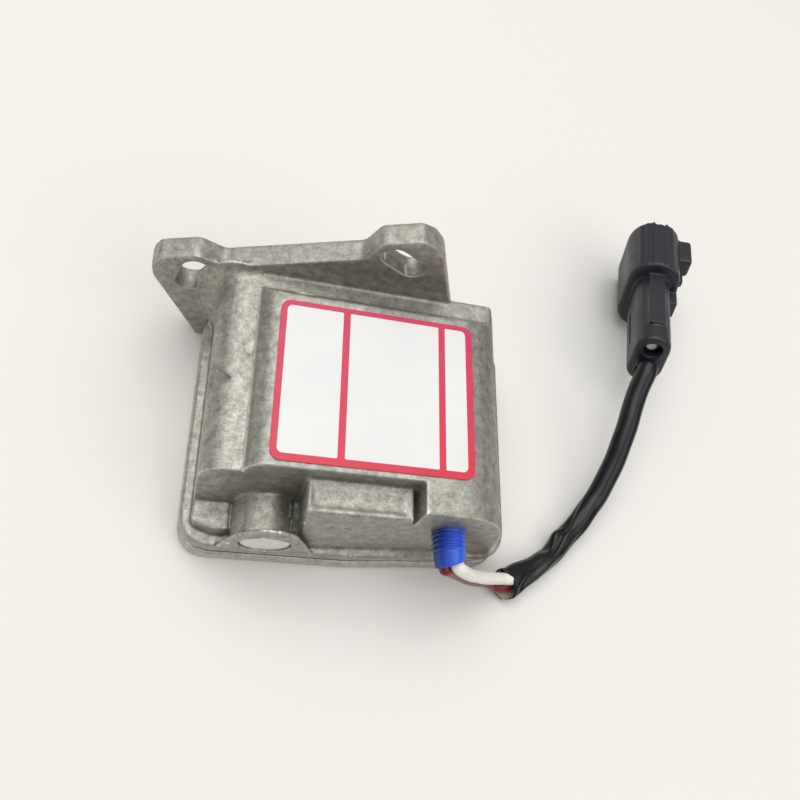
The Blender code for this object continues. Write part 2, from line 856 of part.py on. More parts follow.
def cavity_cutters():
    """The hollow, open at the bottom, with corners left solid for the screws."""
    x0 = BODY_X0 + WALL_LEFT
    x1 = BODY_X1 - WALL_RIGHT
    low = slab("cavity_low", cavity_plan(x0, x1), HOUSE_Z - OVER, CAVITY_STEP_Z)
    plan = cavity_plan(x0 + CAVITY_STEP_LEFT, x1 - CAVITY_STEP_RIGHT)
    high = slab("cavity_high", plan, CAVITY_STEP_Z - GAP, CAVITY_TOP)
    crown = box(
        "cavity_crown",
        (X0 + STEP_X + STEP_R, BODY_X1 - 3 * WALL_RIGHT),
        (CAVITY_Y0 + GAP, CREST_Y - WALL_REAR),
        (CAVITY_TOP - GAP, HIGH_TOP - WALL_TOP),
    )
    return low, high, crown


def shaft_bore():
    """Front plug and bearing pocket, rear bearing pocket and seal pocket, all on the shaft line."""
    clear = SHAFT_BODY_R + GAP * 2
    neck = SHAFT_R + GAP * 4
    front = [
        (0, Y0 - OVER),
        (BEARING_BORE, Y0 - OVER),
        (BEARING_BORE, POCKET_Y),
        (clear, POCKET_Y),
        (clear, CAVITY_Y0 + OVER),
        (0, CAVITY_Y0 + OVER),
    ]
    rear = [
        (0, CAVITY_Y1 - OVER),
        (BEARING_BORE, CAVITY_Y1 - OVER),
        (BEARING_BORE, REAR_POCKET_Y),
        (neck, REAR_POCKET_Y),
        (neck, SEAL_Y),
        (BEARING_BORE, SEAL_Y),
        (BEARING_BORE, PILOT_Y + OVER),
        (0, PILOT_Y + OVER),
    ]
    return on_shaft("front_bore", front, 0.0, 36), on_shaft("rear_bore", rear, 0.0, 36)


def build_housing():
    outline = main_outline()
    housing = slab("housing", outline, FRONT_Y, PLATE_Y + EMBED / 2, "y", CAST)
    bevel(housing, BODY_EDGE, 2, 40)
    cut(housing, recess_cutter(), strip_cutter())
    flange = slab("flange", base_outline(FLANGE_INSET), HOUSE_Z, LEDGE_Z)
    pilot = shaft_rod("pilot", PILOT_R, PLATE_Y + OVER, PILOT_Y, 36)
    join(housing, pad_block(), corner_block(), thin_rib(), *bearing_boss())
    join(housing, bevel(flange, GAP * 2), plate_root(), build_plate(), pilot)
    side = BASE_LENGTH / 2 + OVER
    under = box("under_cut", (-side, side), (-side, PLATE_Y - RUNNING), (-side, HOUSE_Z))
    cut(housing, under, *pad_cutters(), *cavity_cutters(), *shaft_bore(), slot_cutter())
    for k, at in enumerate(screw_places()):
        cut(housing, screw_hole(f"housing_hole_{k + 1}", at, HOUSE_Z - OVER, LEDGE_Z - GAP * 3))
    x, y, _ = GLAND_AT
    start = (x, y - OVER, GLAND_Z)
    cut(housing, rod("gland_port", start, (x, y + 2 * OVER, GLAND_Z), GLAND_R - GLAND_RIB - GAP, 24))


def build_core_plug():
    r = PLUG_R - RUNNING
    profile = [(0, 0.0), (r * 0.7, 0.0001), (r - 0.0004, 0.0003), (r, 0.0007), (r, PLUG_T), (0, PLUG_T)]
    on_shaft("core_plug", profile, Y0 + GAP, 36, STEEL)


def race(edge, depth, hole):
    """The section of a bearing ring from its bore or rim to its grooved side."""
    mid = BEARING_W / 2
    wide = 0.0010
    narrow = 0.0004
    groove = edge + depth
    grooved = [(edge, 0), (edge, mid - wide), (groove, mid - narrow)]
    grooved += [(groove, mid + narrow), (edge, mid + wide), (edge, BEARING_W)]
    return [(hole, 0), *grooved, (hole, BEARING_W)]


def build_bearing(name, start):
    """Outer ring, inner ring, and the balls joined by their cage, which runs on the inner ring."""
    pitch = (BEARING_R + SHAFT_R) / 2 + RUNNING
    inner_r = pitch - 0.0004
    outer_r = pitch + 0.0005
    drop = 0.0007
    mid = BEARING_W / 2
    on_shaft(f"{name}_outer_ring", race(outer_r, drop, BEARING_R), start, 24, STEEL)
    ring = on_shaft(f"{name}_inner_ring", race(inner_r, -drop, SHAFT_R + 0.0001), start, 24, STEEL)
    low = inner_r + RUNNING
    high = outer_r - GAP / 2
    half = 0.0015
    profile = [(low, mid - half), (high, mid - half), (high, mid + half), (low, mid + half)]
    cage = on_shaft(f"{name}_cage", profile, start, 24, BRASS)
    centres = [(x, start + mid, z) for x, z in arc(SHAFT_X, SHAFT_Z, pitch, 0, 360, 7)[:-1]]
    join(cage, balls(f"{name}_balls", centres, BALL_R))
    return ring


def armature_hole(name):
    half = ARMATURE_R + OVER
    start = (SHAFT_X, STACK_MID, SHAFT_Z - half)
    return rod(name, start, (SHAFT_X, STACK_MID, SHAFT_Z + half), PIN_R + PIN_FREE, 14)


def build_shaft():
    front = POCKET_Y - BEARING_W
    shoulder = POCKET_Y + GAP
    rear = REAR_POCKET_Y - BEARING_W - GAP
    end = PILOT_Y + SHAFT_TAIL
    ring = LEVER_Y + LEVER_T + GAP
    groove = ring + RING_T + GAP + RUNNING
    r = SHAFT_R
    neck = r - RING_GROOVE
    profile = [(0, front - 4 * GAP), (r - GAP, front - 4 * GAP), (r, front - 3 * GAP), (r, shoulder)]
    profile += [(SHAFT_BODY_R, shoulder), (SHAFT_BODY_R, rear), (r, rear), (r, ring), (neck, ring)]
    profile += [(neck, groove), (r, groove), (r, end - GAP), (r - GAP, end), (0, end)]
    shaft = on_shaft("output_shaft", profile, 0.0, 24, STEEL)
    return cut(shaft, armature_hole("shaft_pin_hole"))


def build_armature():
    """Two pole sectors with a waist between them, bored for the shaft and the cross pin."""
    outline = []
    for side in (0, 180):
        outline += arc(SHAFT_X, SHAFT_Z, ARMATURE_R, side - 50, side + 26, 9)
        outline += arc(SHAFT_X, SHAFT_Z, ARMATURE_WAIST, side + 34, side + 129, 7)
    low = STACK_Y0 - ARMATURE_REACH
    high = STACK_Y1 + ARMATURE_REACH
    armature = slab("armature", outline, low, high, "y", DARK_STEEL)
    bore = shaft_rod("armature_bore", SHAFT_BODY_R + PIN_FREE, low - OVER, high + OVER, 24)
    cut(armature, bore, armature_hole("armature_pin_hole"))
    start = (SHAFT_X, STACK_MID, SHAFT_Z - PIN_HALF)
    pin = rod("armature_pin", start, (SHAFT_X, STACK_MID, SHAFT_Z + PIN_HALF), PIN_R, 14, STEEL)
    return armature, pin


def build_stator():
    left = BODY_X0 + STATOR_LEFT
    top = CAVITY_TOP - STATOR_TOP
    arm = top - STATOR_ARM
    half = CORE_H / 2
    angle = math.degrees(math.asin(half / MAGNET_R))
    outline = [(left, top), (STATOR_X1, top), (STATOR_X1, SHAFT_Z - half)]
    outline += arc(SHAFT_X, SHAFT_Z, MAGNET_R, -angle, angle, 8)
    outline += [(STATOR_X1 - STATOR_FOOT, SHAFT_Z + half), (STATOR_X1 - STATOR_FOOT, arm)]
    outline += [(SHAFT_X - MAGNET_R * math.cos(math.radians(30)), arm)]
    outline += arc(SHAFT_X, SHAFT_Z, MAGNET_R, 150, 210, 8)
    outline += [(left, SHAFT_Z - MAGNET_R / 2)]
    slab("stator_core", outline, STACK_Y0, STACK_Y1, "y", DARK_STEEL)


def spool(name, x, grow_y, grow_z, radius, finish=None):
    """A rounded block round the core, between two x values."""
    y0 = STACK_Y0 - grow_y
    y1 = STACK_Y1 + grow_y
    z0 = SHAFT_Z - CORE_H / 2 - grow_z
    z1 = SHAFT_Z + CORE_H / 2 + grow_z
    corners = [(y0, z0, radius), (y1, z0, radius), (y1, z1, radius), (y0, z1, radius)]
    return slab(name, rounded(corners, 3), x[0], x[1], "x", finish)


def build_coil():
    x0 = SHAFT_X + MAGNET_R + COIL_LEFT
    x1 = STATOR_X1 - COIL_RIGHT
    wall = BOBBIN_WALL
    core = GAP + BOBBIN_TUBE
    corner = wall / 2
    bobbin = spool("coil_bobbin", (x0, x0 + wall), BOBBIN_END_Y, BOBBIN_END_Z, wall, BLACK)
    end = spool("bobbin_end", (x1 - wall, x1), BOBBIN_END_Y, BOBBIN_END_Z, wall)
    middle = spool("bobbin_tube", (x0 + corner, x1 - corner), core, core, corner)
    join(bobbin, end, middle)
    cut(bobbin, spool("bobbin_bore", (x0 - OVER, x1 + OVER), GAP, GAP, 0))
    ends = (x0 + wall + GAP, x1 - wall - GAP)
    winding = spool("coil_winding", ends, WINDING_Y, WINDING_Z, 2 * wall, COPPER)
    cut(winding, spool("winding_bore", (x0, x1), core + GAP, core + GAP, corner))


def build_spring():
    """Three coils round the shaft in front of the armature, with a leg out to the wall."""
    radius = SHAFT_BODY_R + SPRING_CLEAR
    start = CAVITY_Y0 + SPRING_WIRE * 0.8
    far = Vector((SHAFT_X + radius * 2, start, SHAFT_Z - radius * 0.5))
    near = Vector((SHAFT_X + radius * 1.5, start, SHAFT_Z - radius * 0.25))
    points = [far, near]
    count = 42
    for k in range(count + 1):
        a = 2 * math.pi * 3 * k / count
        x = SHAFT_X + radius * math.cos(a)
        z = SHAFT_Z + radius * math.sin(a)
        points.append(Vector((x, start + SPRING_L * k / count, z)))
    tube("return_spring", points, SPRING_WIRE, STEEL, 1)


def build_stop_pin():
    """A pin from the rear wall that the armature rests on."""
    a = math.radians(STOP_ANGLE)
    x = SHAFT_X + STOP_OFFSET * math.cos(a)
    z = SHAFT_Z + STOP_OFFSET * math.sin(a)
    rod("stop_pin", (x, STACK_Y1 - STOP_REACH, z), (x, CAVITY_Y1 - GAP, z), STOP_R, 14, STEEL)


def build_seal():
    """A lip seal in the pilot, open to the rear."""
    hole = SHAFT_R + RUNNING
    r = BEARING_R
    lip = hole + 0.0005
    skin = 0.0006
    web = SEAL_W * 0.45
    profile = [(hole, skin), (lip, 0), (r, 0), (r, SEAL_W), (r - skin, SEAL_W), (r - skin, web), (lip, web)]
    on_shaft("shaft_seal", profile, SEAL_Y + GAP, 28, BLACK)


def build_lever():
    """Hub and arm behind the mounting face, with a drive pin at the end of the arm."""
    a = math.radians(LEVER_TURN)
    x = SHAFT_X + LEVER_L * math.cos(a)
    z = SHAFT_Z + LEVER_L * math.sin(a)
    turn = LEVER_TURN
    outline = arc(SHAFT_X, SHAFT_Z, LEVER_HUB_R, turn + 75, turn + 285, 14)
    outline += arc(x, z, LEVER_END_R, turn - 80, turn + 80, 8)
    back = LEVER_Y + LEVER_T
    lever = slab("output_lever", outline, LEVER_Y, back, "y", DARK_STEEL)
    free = GAP / 2
    bore = shaft_rod("lever_bore", SHAFT_R + free, LEVER_Y - OVER, back + OVER, 24)
    eye = rod("lever_eye", (x, LEVER_Y - OVER, z), (x, back + OVER, z), DRIVE_PIN_R + free, 18)
    cut(lever, bore, eye)
    r = DRIVE_PIN_R
    profile = [(0, 0), (r, 0), (r, DRIVE_PIN_L - GAP), (r - GAP, DRIVE_PIN_L), (0, DRIVE_PIN_L)]
    pin = turned("drive_pin", profile, (x, LEVER_Y, z), (0, 1, 0), 18, STEEL)
    return lever, pin


def build_ring():
    """The open retaining ring in the shaft's groove."""
    low = LEVER_Y + LEVER_T + GAP + GAP / 2
    high = low + RING_T
    ring = shaft_rod("retaining_ring", RING_R, low, high, 24, DARK_STEEL)
    hole = shaft_rod("ring_hole", SHAFT_R - RING_GROOVE + 0.0001, low - OVER, high + OVER, 24)
    half = SHAFT_R * 0.73
    mouth = box(
        "ring_mouth",
        (SHAFT_X - half, SHAFT_X + half),
        (low - OVER, high + OVER),
        (SHAFT_Z, SHAFT_Z + RING_R + OVER),
    )
    return cut(ring, hole, mouth)


def build_rotor():
    """Everything that turns with the shaft, on an empty at the joint axis."""
    turning = [build_shaft(), *build_armature(), *build_lever(), build_ring()]
    turning.append(build_bearing("front_bearing", POCKET_Y - BEARING_W))
    turning.append(build_bearing("rear_bearing", REAR_POCKET_Y - BEARING_W))
    axis = bpy.data.objects.new("rotor_axis", None)
    place = Matrix.Translation((SHAFT_X, 0, SHAFT_Z))
    axis.matrix_world = place
    parts.objects.link(axis)
    for obj in turning:
        obj.parent = axis
        obj.matrix_parent_inverse = place.inverted()


def build_label():
    x0 = X0 + STEP_X + LABEL_LEFT
    x1 = x0 + LABEL_L
    y0 = RECESS_Y + LABEL_FRONT
    y1 = CREST_Y - LABEL_REAR
    r = LABEL_REAR
    outline = rounded([(x0, y0, r), (x1, y0, r), (x1, y1, r), (x0, y1, r)])
    low = HIGH_TOP + LABEL_LIFT
    slab("label", outline, low, low + LABEL_T, "z", PAPER)


def gland_frame(along):
    """Middle, right-hand side and rise of the gland's section this far out along it."""
    t = along / GLAND_L
    bend = t * abs(t)
    middle = GLAND_AT + Vector((GLAND_BEND * bend, -along, GLAND_Z - GLAND_SAG * bend))
    yaw = math.radians(GLAND_TURN * bend)
    dip = math.radians(GLAND_DIP * bend)
    out = Vector((math.sin(yaw) * math.cos(dip), -math.cos(yaw) * math.cos(dip), -math.sin(dip)))
    side = Vector((0, 0, 1)).cross(out).normalized()
    return middle, side, out.cross(side), out


def gland_loop(along, radius):
    middle, side, rise, _ = gland_frame(along)
    return [middle + side * u + rise * v for u, v in arc(0, 0, radius, 0, 360, 24)[:-1]]


def build_gland():
    """A blue bush with four ribs and a smooth end, and a thin spigot in the wall."""
    small = GLAND_R - GLAND_RIB
    spigot = small - GAP * 2
    sizes = [(-2 * GAP - OVER, spigot), (GAP, spigot), (GAP + 0.00001, small)]
    pitch = GLAND_L * 0.15
    for k in range(4):
        at = 2 * GAP + pitch * k
        r = GLAND_R - GLAND_TAPER * at / GLAND_L
        ends = [(at, r - GLAND_RIB), (at + pitch * 0.2, r)]
        sizes += [*ends, (at + pitch * 0.6, r), (at + pitch * 0.8, r - GLAND_RIB)]
    end = GLAND_R - GLAND_TAPER
    sizes += [(GLAND_L * 0.72, end), (GLAND_L - GAP, end), (GLAND_L, end - GAP)]
    loft("cable_gland", [gland_loop(*size) for size in sizes], BLUE)


def wire_route(exit_at, points):
    """The wire leaves the gland's end square, then follows its points."""
    middle, side, rise, out = gland_frame(GLAND_L)
    start = middle + side * exit_at[0] + rise * exit_at[1] + out * GAP
    return [start, start + out * WIRE_LEAVE, *lead_points(points)]


def lead_points(points):
    return [GLAND_AT + Vector(p) for p in points]


def build_lead():
    white = wire_route(WHITE_EXIT, WHITE_ROUTE)
    red = wire_route(RED_EXIT, RED_ROUTE)
    end = plug_matrix() @ Vector((0, -SLEEVE_DROP, -TAIL_L - SLEEVE_STAND))
    tube("white_wire", smooth_route(white, WHITE_D * 1.2), WHITE_D, WHITE)
    tube("red_wire", smooth_route(red, RED_D * 1.5), RED_D, RED)
    sleeve = smooth_route([*lead_points(SLEEVE_ROUTE), end], SLEEVE_D * 0.7)
    tube("lead_sleeve", sleeve, SLEEVE_D, BLACK, 3)


def plug_matrix():
    """Plug axes: first across, second up the racetrack, third out of the hood."""
    yaw = math.radians(PLUG_YAW)
    pitch = math.radians(PLUG_PITCH)
    roll = math.radians(PLUG_ROLL)
    ahead = Vector((math.sin(yaw), math.cos(yaw), 0)) * math.cos(pitch)
    out = ahead - Vector((0, 0, math.sin(pitch)))
    across = Vector((math.cos(yaw), -math.sin(yaw), 0))
    up = across.cross(out)
    side = across * math.cos(roll) + up * math.sin(roll)
    rise = up * math.cos(roll) - across * math.sin(roll)
    place = Matrix((side, rise, out)).transposed().to_4x4()
    place.translation = GLAND_AT + Vector(PLUG_AT)
    return place


def plug_slab(name, outline, low, high, finish=None):
    return slab(name, outline, low, high, "z", finish, plug_matrix())


def plug_box(name, x, y, z, finish=None):
    return box(name, x, y, z, finish, plug_matrix())


def plug_lugs():
    """The lock lug and rib on the hood's side, the lug and ridge on the tail."""
    half = HOOD_W / 2
    root = 0.0010
    tail = TAIL_W / 2
    top = TAIL_H / 2
    lock = plug_box("lock_lug", (half - root, half + LOCK_OUT), (0.0020, 0.0090), (0.0103, 0.0210))
    rib = plug_box("side_rib", (half - root, half + RIB_OUT), (0.0030, 0.0055), (0.0040, 0.0075))
    lug = plug_box("tail_lug", (tail - root, tail + TAIL_LUG_OUT), (-0.0020, 0.0040), (-0.0055, 0.0005))
    ridge = plug_box("tail_ridge", (-0.0025, 0.0025), (top - root, top + RIDGE_H), (-0.0220, 0.0005))
    return bevel(lock, 0.0005, 1), rib, lug, ridge


def build_plug_body():
    """The hood with its lugs, the tail, the mouth and the key notch."""
    inner = racetrack(HOOD_W - 2 * HOOD_WALL, HOOD_H - 2 * HOOD_WALL, 12)
    body = plug_slab("plug_housing", racetrack(HOOD_W, HOOD_H, 12), 0.0, HOOD_L, BLACK)
    bevel(body, 0.0008, 2, 50)
    tail = plug_slab("plug_tail", racetrack(TAIL_W, TAIL_H, 9), -TAIL_L, OVER)
    bevel(tail, 0.0006, 1, 50)
    top = HOOD_H / 2
    notch_z = (HOOD_L - NOTCH_DEPTH, HOOD_L + OVER)
    notch = plug_box("key_notch", (-0.0014, 0.0022), (top - NOTCH_DEPTH, top + OVER), notch_z)
    join(body, tail, *plug_lugs())
    return cut(body, plug_slab("plug_mouth", inner, HOOD_FLOOR, HOOD_L + OVER), notch)


def seal_profile():
    shape = [(0, 0), (0.73, 0), (0.9, 0.22), (0.77, 0.44), (0.9, 0.71), (0.8, 1.0), (0, 1.0)]
    length = WIRE_BORE_L * 0.45
    start = WIRE_BORE_L * 0.22 - TAIL_L
    return [(r * WIRE_BORE_R, h * length + start) for r, h in shape]


def build_contact(body, k, at):
    """One wire bore and blade room in the plug, with its blade and its wire seal."""
    bore_end = WIRE_BORE_L - TAIL_L
    place = plug_matrix()
    start = (0, at, -TAIL_L - OVER)
    cut(body, rod(f"wire_bore_{k}", start, (0, at, bore_end), WIRE_BORE_R, 18, None, place))
    half = BLADE_W / 2
    thick = BLADE_T / 2
    room_x = (-half - GAP, half + GAP)
    room_y = (at - thick - GAP, at + thick + GAP)
    cut(body, plug_box(f"blade_room_{k}", room_x, room_y, (bore_end - GAP, HOOD_FLOOR + OVER)))
    blade_z = (bore_end + GAP, HOOD_L - 2 * HOOD_FLOOR)
    blade = plug_box(f"plug_blade_{k}", (-half, half), (at - thick, at + thick), blade_z, BRASS)
    bevel(blade, GAP / 2, 1)
    seal = turned(f"wire_seal_{k}", seal_profile(), (0, 0, 0), (0, 0, 1), 16, WHITE)
    seal.matrix_world = place @ Matrix.Translation((0, at, 0))
    return plug_box(f"blade_gap_{k}", room_x, room_y, (0.0, 3 * HOOD_FLOOR))


def build_plug():
    body = build_plug_body()
    width = HOOD_W - 2 * (HOOD_WALL + GAP)
    height = HOOD_H - 2 * (HOOD_WALL + GAP)
    low = HOOD_FLOOR + GAP
    lock = plug_slab("blade_lock", racetrack(width, height, 9), low, low + OVER, RED)
    for k, side in ((1, 1), (2, -1)):
        cut(lock, build_contact(body, k, side * WIRE_PITCH / 2))


def main():
    clear_scene()
    link_collections()
    build_cover()
    build_gasket()
    build_screws()
    build_housing()
    build_core_plug()
    build_rotor()
    build_stator()
    build_coil()
    build_spring()
    build_stop_pin()
    build_seal()
    build_label()
    build_gland()
    build_lead()
    build_plug()


main()
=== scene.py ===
"""Looks of the engine governor actuator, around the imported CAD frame. Metres, +Z up."""

import math

import bmesh
import bpy
import numpy as np
from mathutils import Euler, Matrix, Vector, noise


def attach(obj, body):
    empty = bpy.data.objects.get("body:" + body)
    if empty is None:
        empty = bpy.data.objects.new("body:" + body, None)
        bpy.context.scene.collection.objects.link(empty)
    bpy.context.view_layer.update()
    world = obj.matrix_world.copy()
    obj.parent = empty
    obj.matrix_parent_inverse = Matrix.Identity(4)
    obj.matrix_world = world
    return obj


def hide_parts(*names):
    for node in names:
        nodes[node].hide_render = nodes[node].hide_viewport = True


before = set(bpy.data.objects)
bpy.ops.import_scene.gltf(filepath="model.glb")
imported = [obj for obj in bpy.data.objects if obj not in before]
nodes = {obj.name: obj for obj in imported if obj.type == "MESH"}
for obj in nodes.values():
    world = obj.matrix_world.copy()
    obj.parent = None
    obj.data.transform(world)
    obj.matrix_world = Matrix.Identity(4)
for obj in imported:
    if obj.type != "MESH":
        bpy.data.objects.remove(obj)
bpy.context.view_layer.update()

CAMERA_AT = (-0.0440, -0.0774, 0.2090)
CAMERA_TURN = (23.950, -16.466, 0.702)
CAMERA_LENS = 35.0

WHITE_D = 0.0034
RED_D = 0.0028
SLEEVE_D = 0.0064
WHITE_ROUTE = [
    (0.02323, -0.03560, 0.02933),
    (0.02353, -0.03643, 0.02915),
    (0.0243, -0.03675, 0.0286),
    (0.0265, -0.0369, 0.0261),
    (0.0294, -0.0367, 0.0226),
    (0.0330, -0.0361, 0.0186),
    (0.0372, -0.0354, 0.0142),
    (0.0413, -0.0345, 0.0103),
    (0.0446, -0.0338, 0.0075),
]
RED_ROUTE = [
    (0.02041, -0.03625, 0.02758),
    (0.02071, -0.03708, 0.02740),
    (0.0215, -0.0370, 0.0267),
    (0.0242, -0.0367, 0.0235),
    (0.0269, -0.0366, 0.0204),
    (0.0306, -0.0365, 0.0163),
    (0.0349, -0.0360, 0.0118),
    (0.0392, -0.0352, 0.0078),
    (0.0425, -0.0352, 0.0053),
    (0.0444, -0.03575, 0.0045),
    (0.0462, -0.0353, 0.0041),
]
SLEEVE_ROUTE = [
    (0.0468, -0.0349, 0.0037),
    (0.0536, -0.0308, 0.0038),
    (0.0604, -0.0264, 0.0036),
    (0.0655, -0.0211, 0.0038),
    (0.0698, -0.0165, 0.0046),
    (0.0744, -0.0105, 0.0062),
    (0.0780, -0.0045, 0.0086),
    (0.0814, 0.0036, 0.0124),
    (0.0842, 0.0133, 0.0166),
    (0.0868, 0.0233, 0.0200),
    (0.0891, 0.0294, 0.0228),
    (0.08986, 0.03194, 0.02319),
]

# The label's edges.
LABEL_X = (-0.0265, 0.0228)
LABEL_Y = (-0.0190, 0.0225)

# Where the wires run on, out of sight in the mouth of the sleeve.
WHITE_TUCK = (0.0481, -0.0334, 0.0061)
RED_TUCK = (0.0488, -0.0346, 0.0036)
# The sleeve's mouth is squeezed flat and stands a little higher than the round sleeve.
MOUTH_AT = (0.0462, -0.0352, 0.0052)

# The connector's middle, and the ways to its side, its top and its mouth.
PLUG_AT = np.array((0.0969, 0.0609, 0.0183))
PLUG_SIDE = np.array((0.940, -0.180, 0.289))
PLUG_RISE = np.array((-0.2436, 0.2386, 0.9401))
PLUG_OUT = np.array((0.2380, 0.9544, -0.1805))


def read_points(mesh, field="co"):
    flat = np.empty(len(mesh.vertices) * 3)
    mesh.vertices.foreach_get(field, flat)
    return flat.reshape(-1, 3)


# Node materials.


class Build:
    """A material's node tree, with short calls for the nodes used here."""

    def __init__(self, name, colour, metallic, roughness):
        self.mat = bpy.data.materials.new(name)
        self.mat.use_nodes = True
        self.tree = self.mat.node_tree
        self.shader = self.tree.nodes["Principled BSDF"]
        self.set("Base Color", (*colour, 1.0))
        self.set("Metallic", metallic)
        self.set("Roughness", roughness)
        self.place = self.node("ShaderNodeTexCoord").outputs["Object"]

    def node(self, kind, **settings):
        made = self.tree.nodes.new(kind)
        for key, value in settings.items():
            setattr(made, key, value)
        return made

    def set(self, socket, value):
        self.shader.inputs[socket].default_value = value

    def feed(self, output, target, socket):
        self.tree.links.new(output, target.inputs[socket])

    def noise(self, scale, detail=3.0, rough=0.5, stretch=None):
        made = self.node("ShaderNodeTexNoise")
        made.inputs["Scale"].default_value = scale
        made.inputs["Detail"].default_value = detail
        made.inputs["Roughness"].default_value = rough
        source = self.place
        if stretch:
            mapping = self.node("ShaderNodeMapping")
            mapping.inputs["Scale"].default_value = stretch
            self.feed(self.place, mapping, "Vector")
            source = mapping.outputs["Vector"]
        self.feed(source, made, "Vector")
        return made.outputs["Fac"]

    def along(self, axis):
        split = self.node("ShaderNodeSeparateXYZ")
        self.feed(self.place, split, "Vector")
        return split.outputs[axis]

    def edges(self):
        return self.node("ShaderNodeNewGeometry").outputs["Pointiness"]

    def ramp(self, factor, stops):
        made = self.node("ShaderNodeValToRGB")
        elements = made.color_ramp.elements
        while len(elements) < len(stops):
            elements.new(0.5)
        for element, (at, colour) in zip(elements, stops):
            element.position = at
            element.color = (*colour, 1.0)
        self.feed(factor, made, "Fac")
        return made.outputs["Color"]

    def mix(self, factor, one, two, how="MIX"):
        made = self.node("ShaderNodeMix", data_type="RGBA", blend_type=how)
        for socket, value in ((0, factor), (6, one), (7, two)):
            if isinstance(value, (float, tuple)):
                made.inputs[socket].default_value = value if socket == 0 else (*value, 1.0)
            else:
                self.tree.links.new(value, made.inputs[socket])
        return made.outputs[2]

    def scale(self, factor, low, high, start=0.0, end=1.0):
        made = self.node("ShaderNodeMapRange")
        for key, value in (("From Min", start), ("From Max", end), ("To Min", low), ("To Max", high)):
            made.inputs[key].default_value = value
        self.feed(factor, made, "Value")
        return made.outputs["Result"]

    def times(self, one, two):
        made = self.node("ShaderNodeMath", operation="MULTIPLY")
        self.feed(one, made, 0)
        self.feed(two, made, 1)
        return made.outputs[0]

    def bump(self, height, strength, distance, under=None):
        made = self.node("ShaderNodeBump")
        made.inputs["Strength"].default_value = strength
        made.inputs["Distance"].default_value = distance
        self.feed(height, made, "Height")
        if under is not None:
            self.feed(under, made, "Normal")
        self.feed(made.outputs["Normal"], self.shader, "Normal")
        return made.outputs["Normal"]


# A painted highlight along the crisp edge where the left shoulder drops to the groove.
STEP_X = -0.0313
STEP_Y = (-0.0245, 0.0285)
STEP_Z = (0.0368, 0.0374)
STEP_HALF = (0.00010, 0.00034)
STEP_END = 0.0006


def step_highlight(m):
    """Full along the painted highlight on the step's edge, else nothing."""
    gap = m.node("ShaderNodeMath", operation="SUBTRACT")
    m.feed(m.along("X"), gap, 0)
    gap.inputs[1].default_value = STEP_X
    off = m.node("ShaderNodeMath", operation="ABSOLUTE")
    m.feed(gap.outputs[0], off, 0)
    line = m.scale(off.outputs[0], low=1.0, high=0.0, start=STEP_HALF[0], end=STEP_HALF[1])
    high = m.scale(m.along("Z"), low=0.0, high=1.0, start=STEP_Z[0], end=STEP_Z[1])
    front = m.scale(m.along("Y"), low=0.0, high=1.0, start=STEP_Y[0], end=STEP_Y[0] + STEP_END)
    back = m.scale(m.along("Y"), low=1.0, high=0.0, start=STEP_Y[1] - STEP_END, end=STEP_Y[1])
    patchy = m.scale(m.noise(900, detail=3, rough=0.6), low=0.45, high=1.0, start=0.35, end=0.55)
    for other in (high, front, back, patchy):
        line = m.times(line, other)
    return line


# The colour of the painted shade in the dent.
DENT_SHADE_COLOUR = (0.085, 0.080, 0.066)


def cast_metal(name, dark, bright, edge, metallic=0.82, step=False):
    """Sandy die casting: mottled skin, dark specks, and painted highlights on its edges."""
    m = Build(name, bright, metallic, 0.5)
    blotch = m.ramp(m.noise(420, detail=6, rough=0.65), [(0.34, dark), (0.66, bright)])
    grain = m.scale(m.noise(2100, detail=4, rough=0.7), low=0.80, high=1.16, start=0.35, end=0.65)
    specks = m.scale(m.noise(1100, detail=5, rough=0.75), low=0.72, high=1.0, start=0.33, end=0.42)
    toned = m.mix(1.0, blotch, grain, "MULTIPLY")
    toned = m.mix(1.0, toned, specks, "MULTIPLY")
    # Painted highlight: sharp convex edges, found by pointiness, turn towards the edge colour.
    edge_highlight = m.scale(m.edges(), low=0.0, high=0.80, start=0.518, end=0.570)
    toned = m.mix(edge_highlight, toned, edge)
    # With step: a painted highlight along the shoulder's step, and painted shade in the dent.
    if step:
        # Painted highlight: the step's edge turns to the edge colour.
        toned = m.mix(step_highlight(m), toned, edge)
        # Painted shade: the dent's edge line and floor darken towards the dent's shade colour.
        dent_shading = m.node("ShaderNodeAttribute", attribute_name="dent_shade").outputs["Fac"]
        toned = m.mix(dent_shading, toned, DENT_SHADE_COLOUR)
    m.feed(toned, m.shader, "Base Color")
    dull = m.scale(m.noise(700, detail=4, rough=0.6), low=0.34, high=0.58, start=0.3, end=0.7)
    m.feed(dull, m.shader, "Roughness")
    wave = m.bump(m.noise(420, detail=5, rough=0.65), strength=0.14, distance=0.0005)
    m.bump(m.noise(1900, detail=4, rough=0.75), strength=0.50, distance=0.00022, under=wave)
    return m.mat


def smooth_metal(name, colour, roughness, metallic=1.0):
    m = Build(name, colour, metallic, roughness)
    streaks = m.noise(900, 3, 0.5, (1.0, 12.0, 1.0))
    dull = tuple(c * 0.8 for c in colour)
    m.feed(m.ramp(m.noise(500, 4, 0.6), [(0.35, dull), (0.65, colour)]), m.shader, "Base Color")
    m.feed(m.scale(streaks, roughness * 0.75, roughness * 1.3, 0.3, 0.7), m.shader, "Roughness")
    m.bump(streaks, 0.15, 0.00005)
    return m.mat


def plastic(name, colour, roughness, grain=900, strength=0.12, gloss=0.5):
    m = Build(name, colour, 0.0, roughness)
    m.set("Specular IOR Level", gloss)
    tint = m.noise(220, 3, 0.5)
    shade = tuple(c * 0.85 for c in colour)
    m.feed(m.ramp(tint, [(0.3, shade), (0.7, colour)]), m.shader, "Base Color")
    m.feed(m.scale(tint, roughness * 0.85, roughness * 1.15, 0.3, 0.7), m.shader, "Roughness")
    m.bump(m.noise(grain, 3, 0.5), strength, 0.00008)
    return m.mat


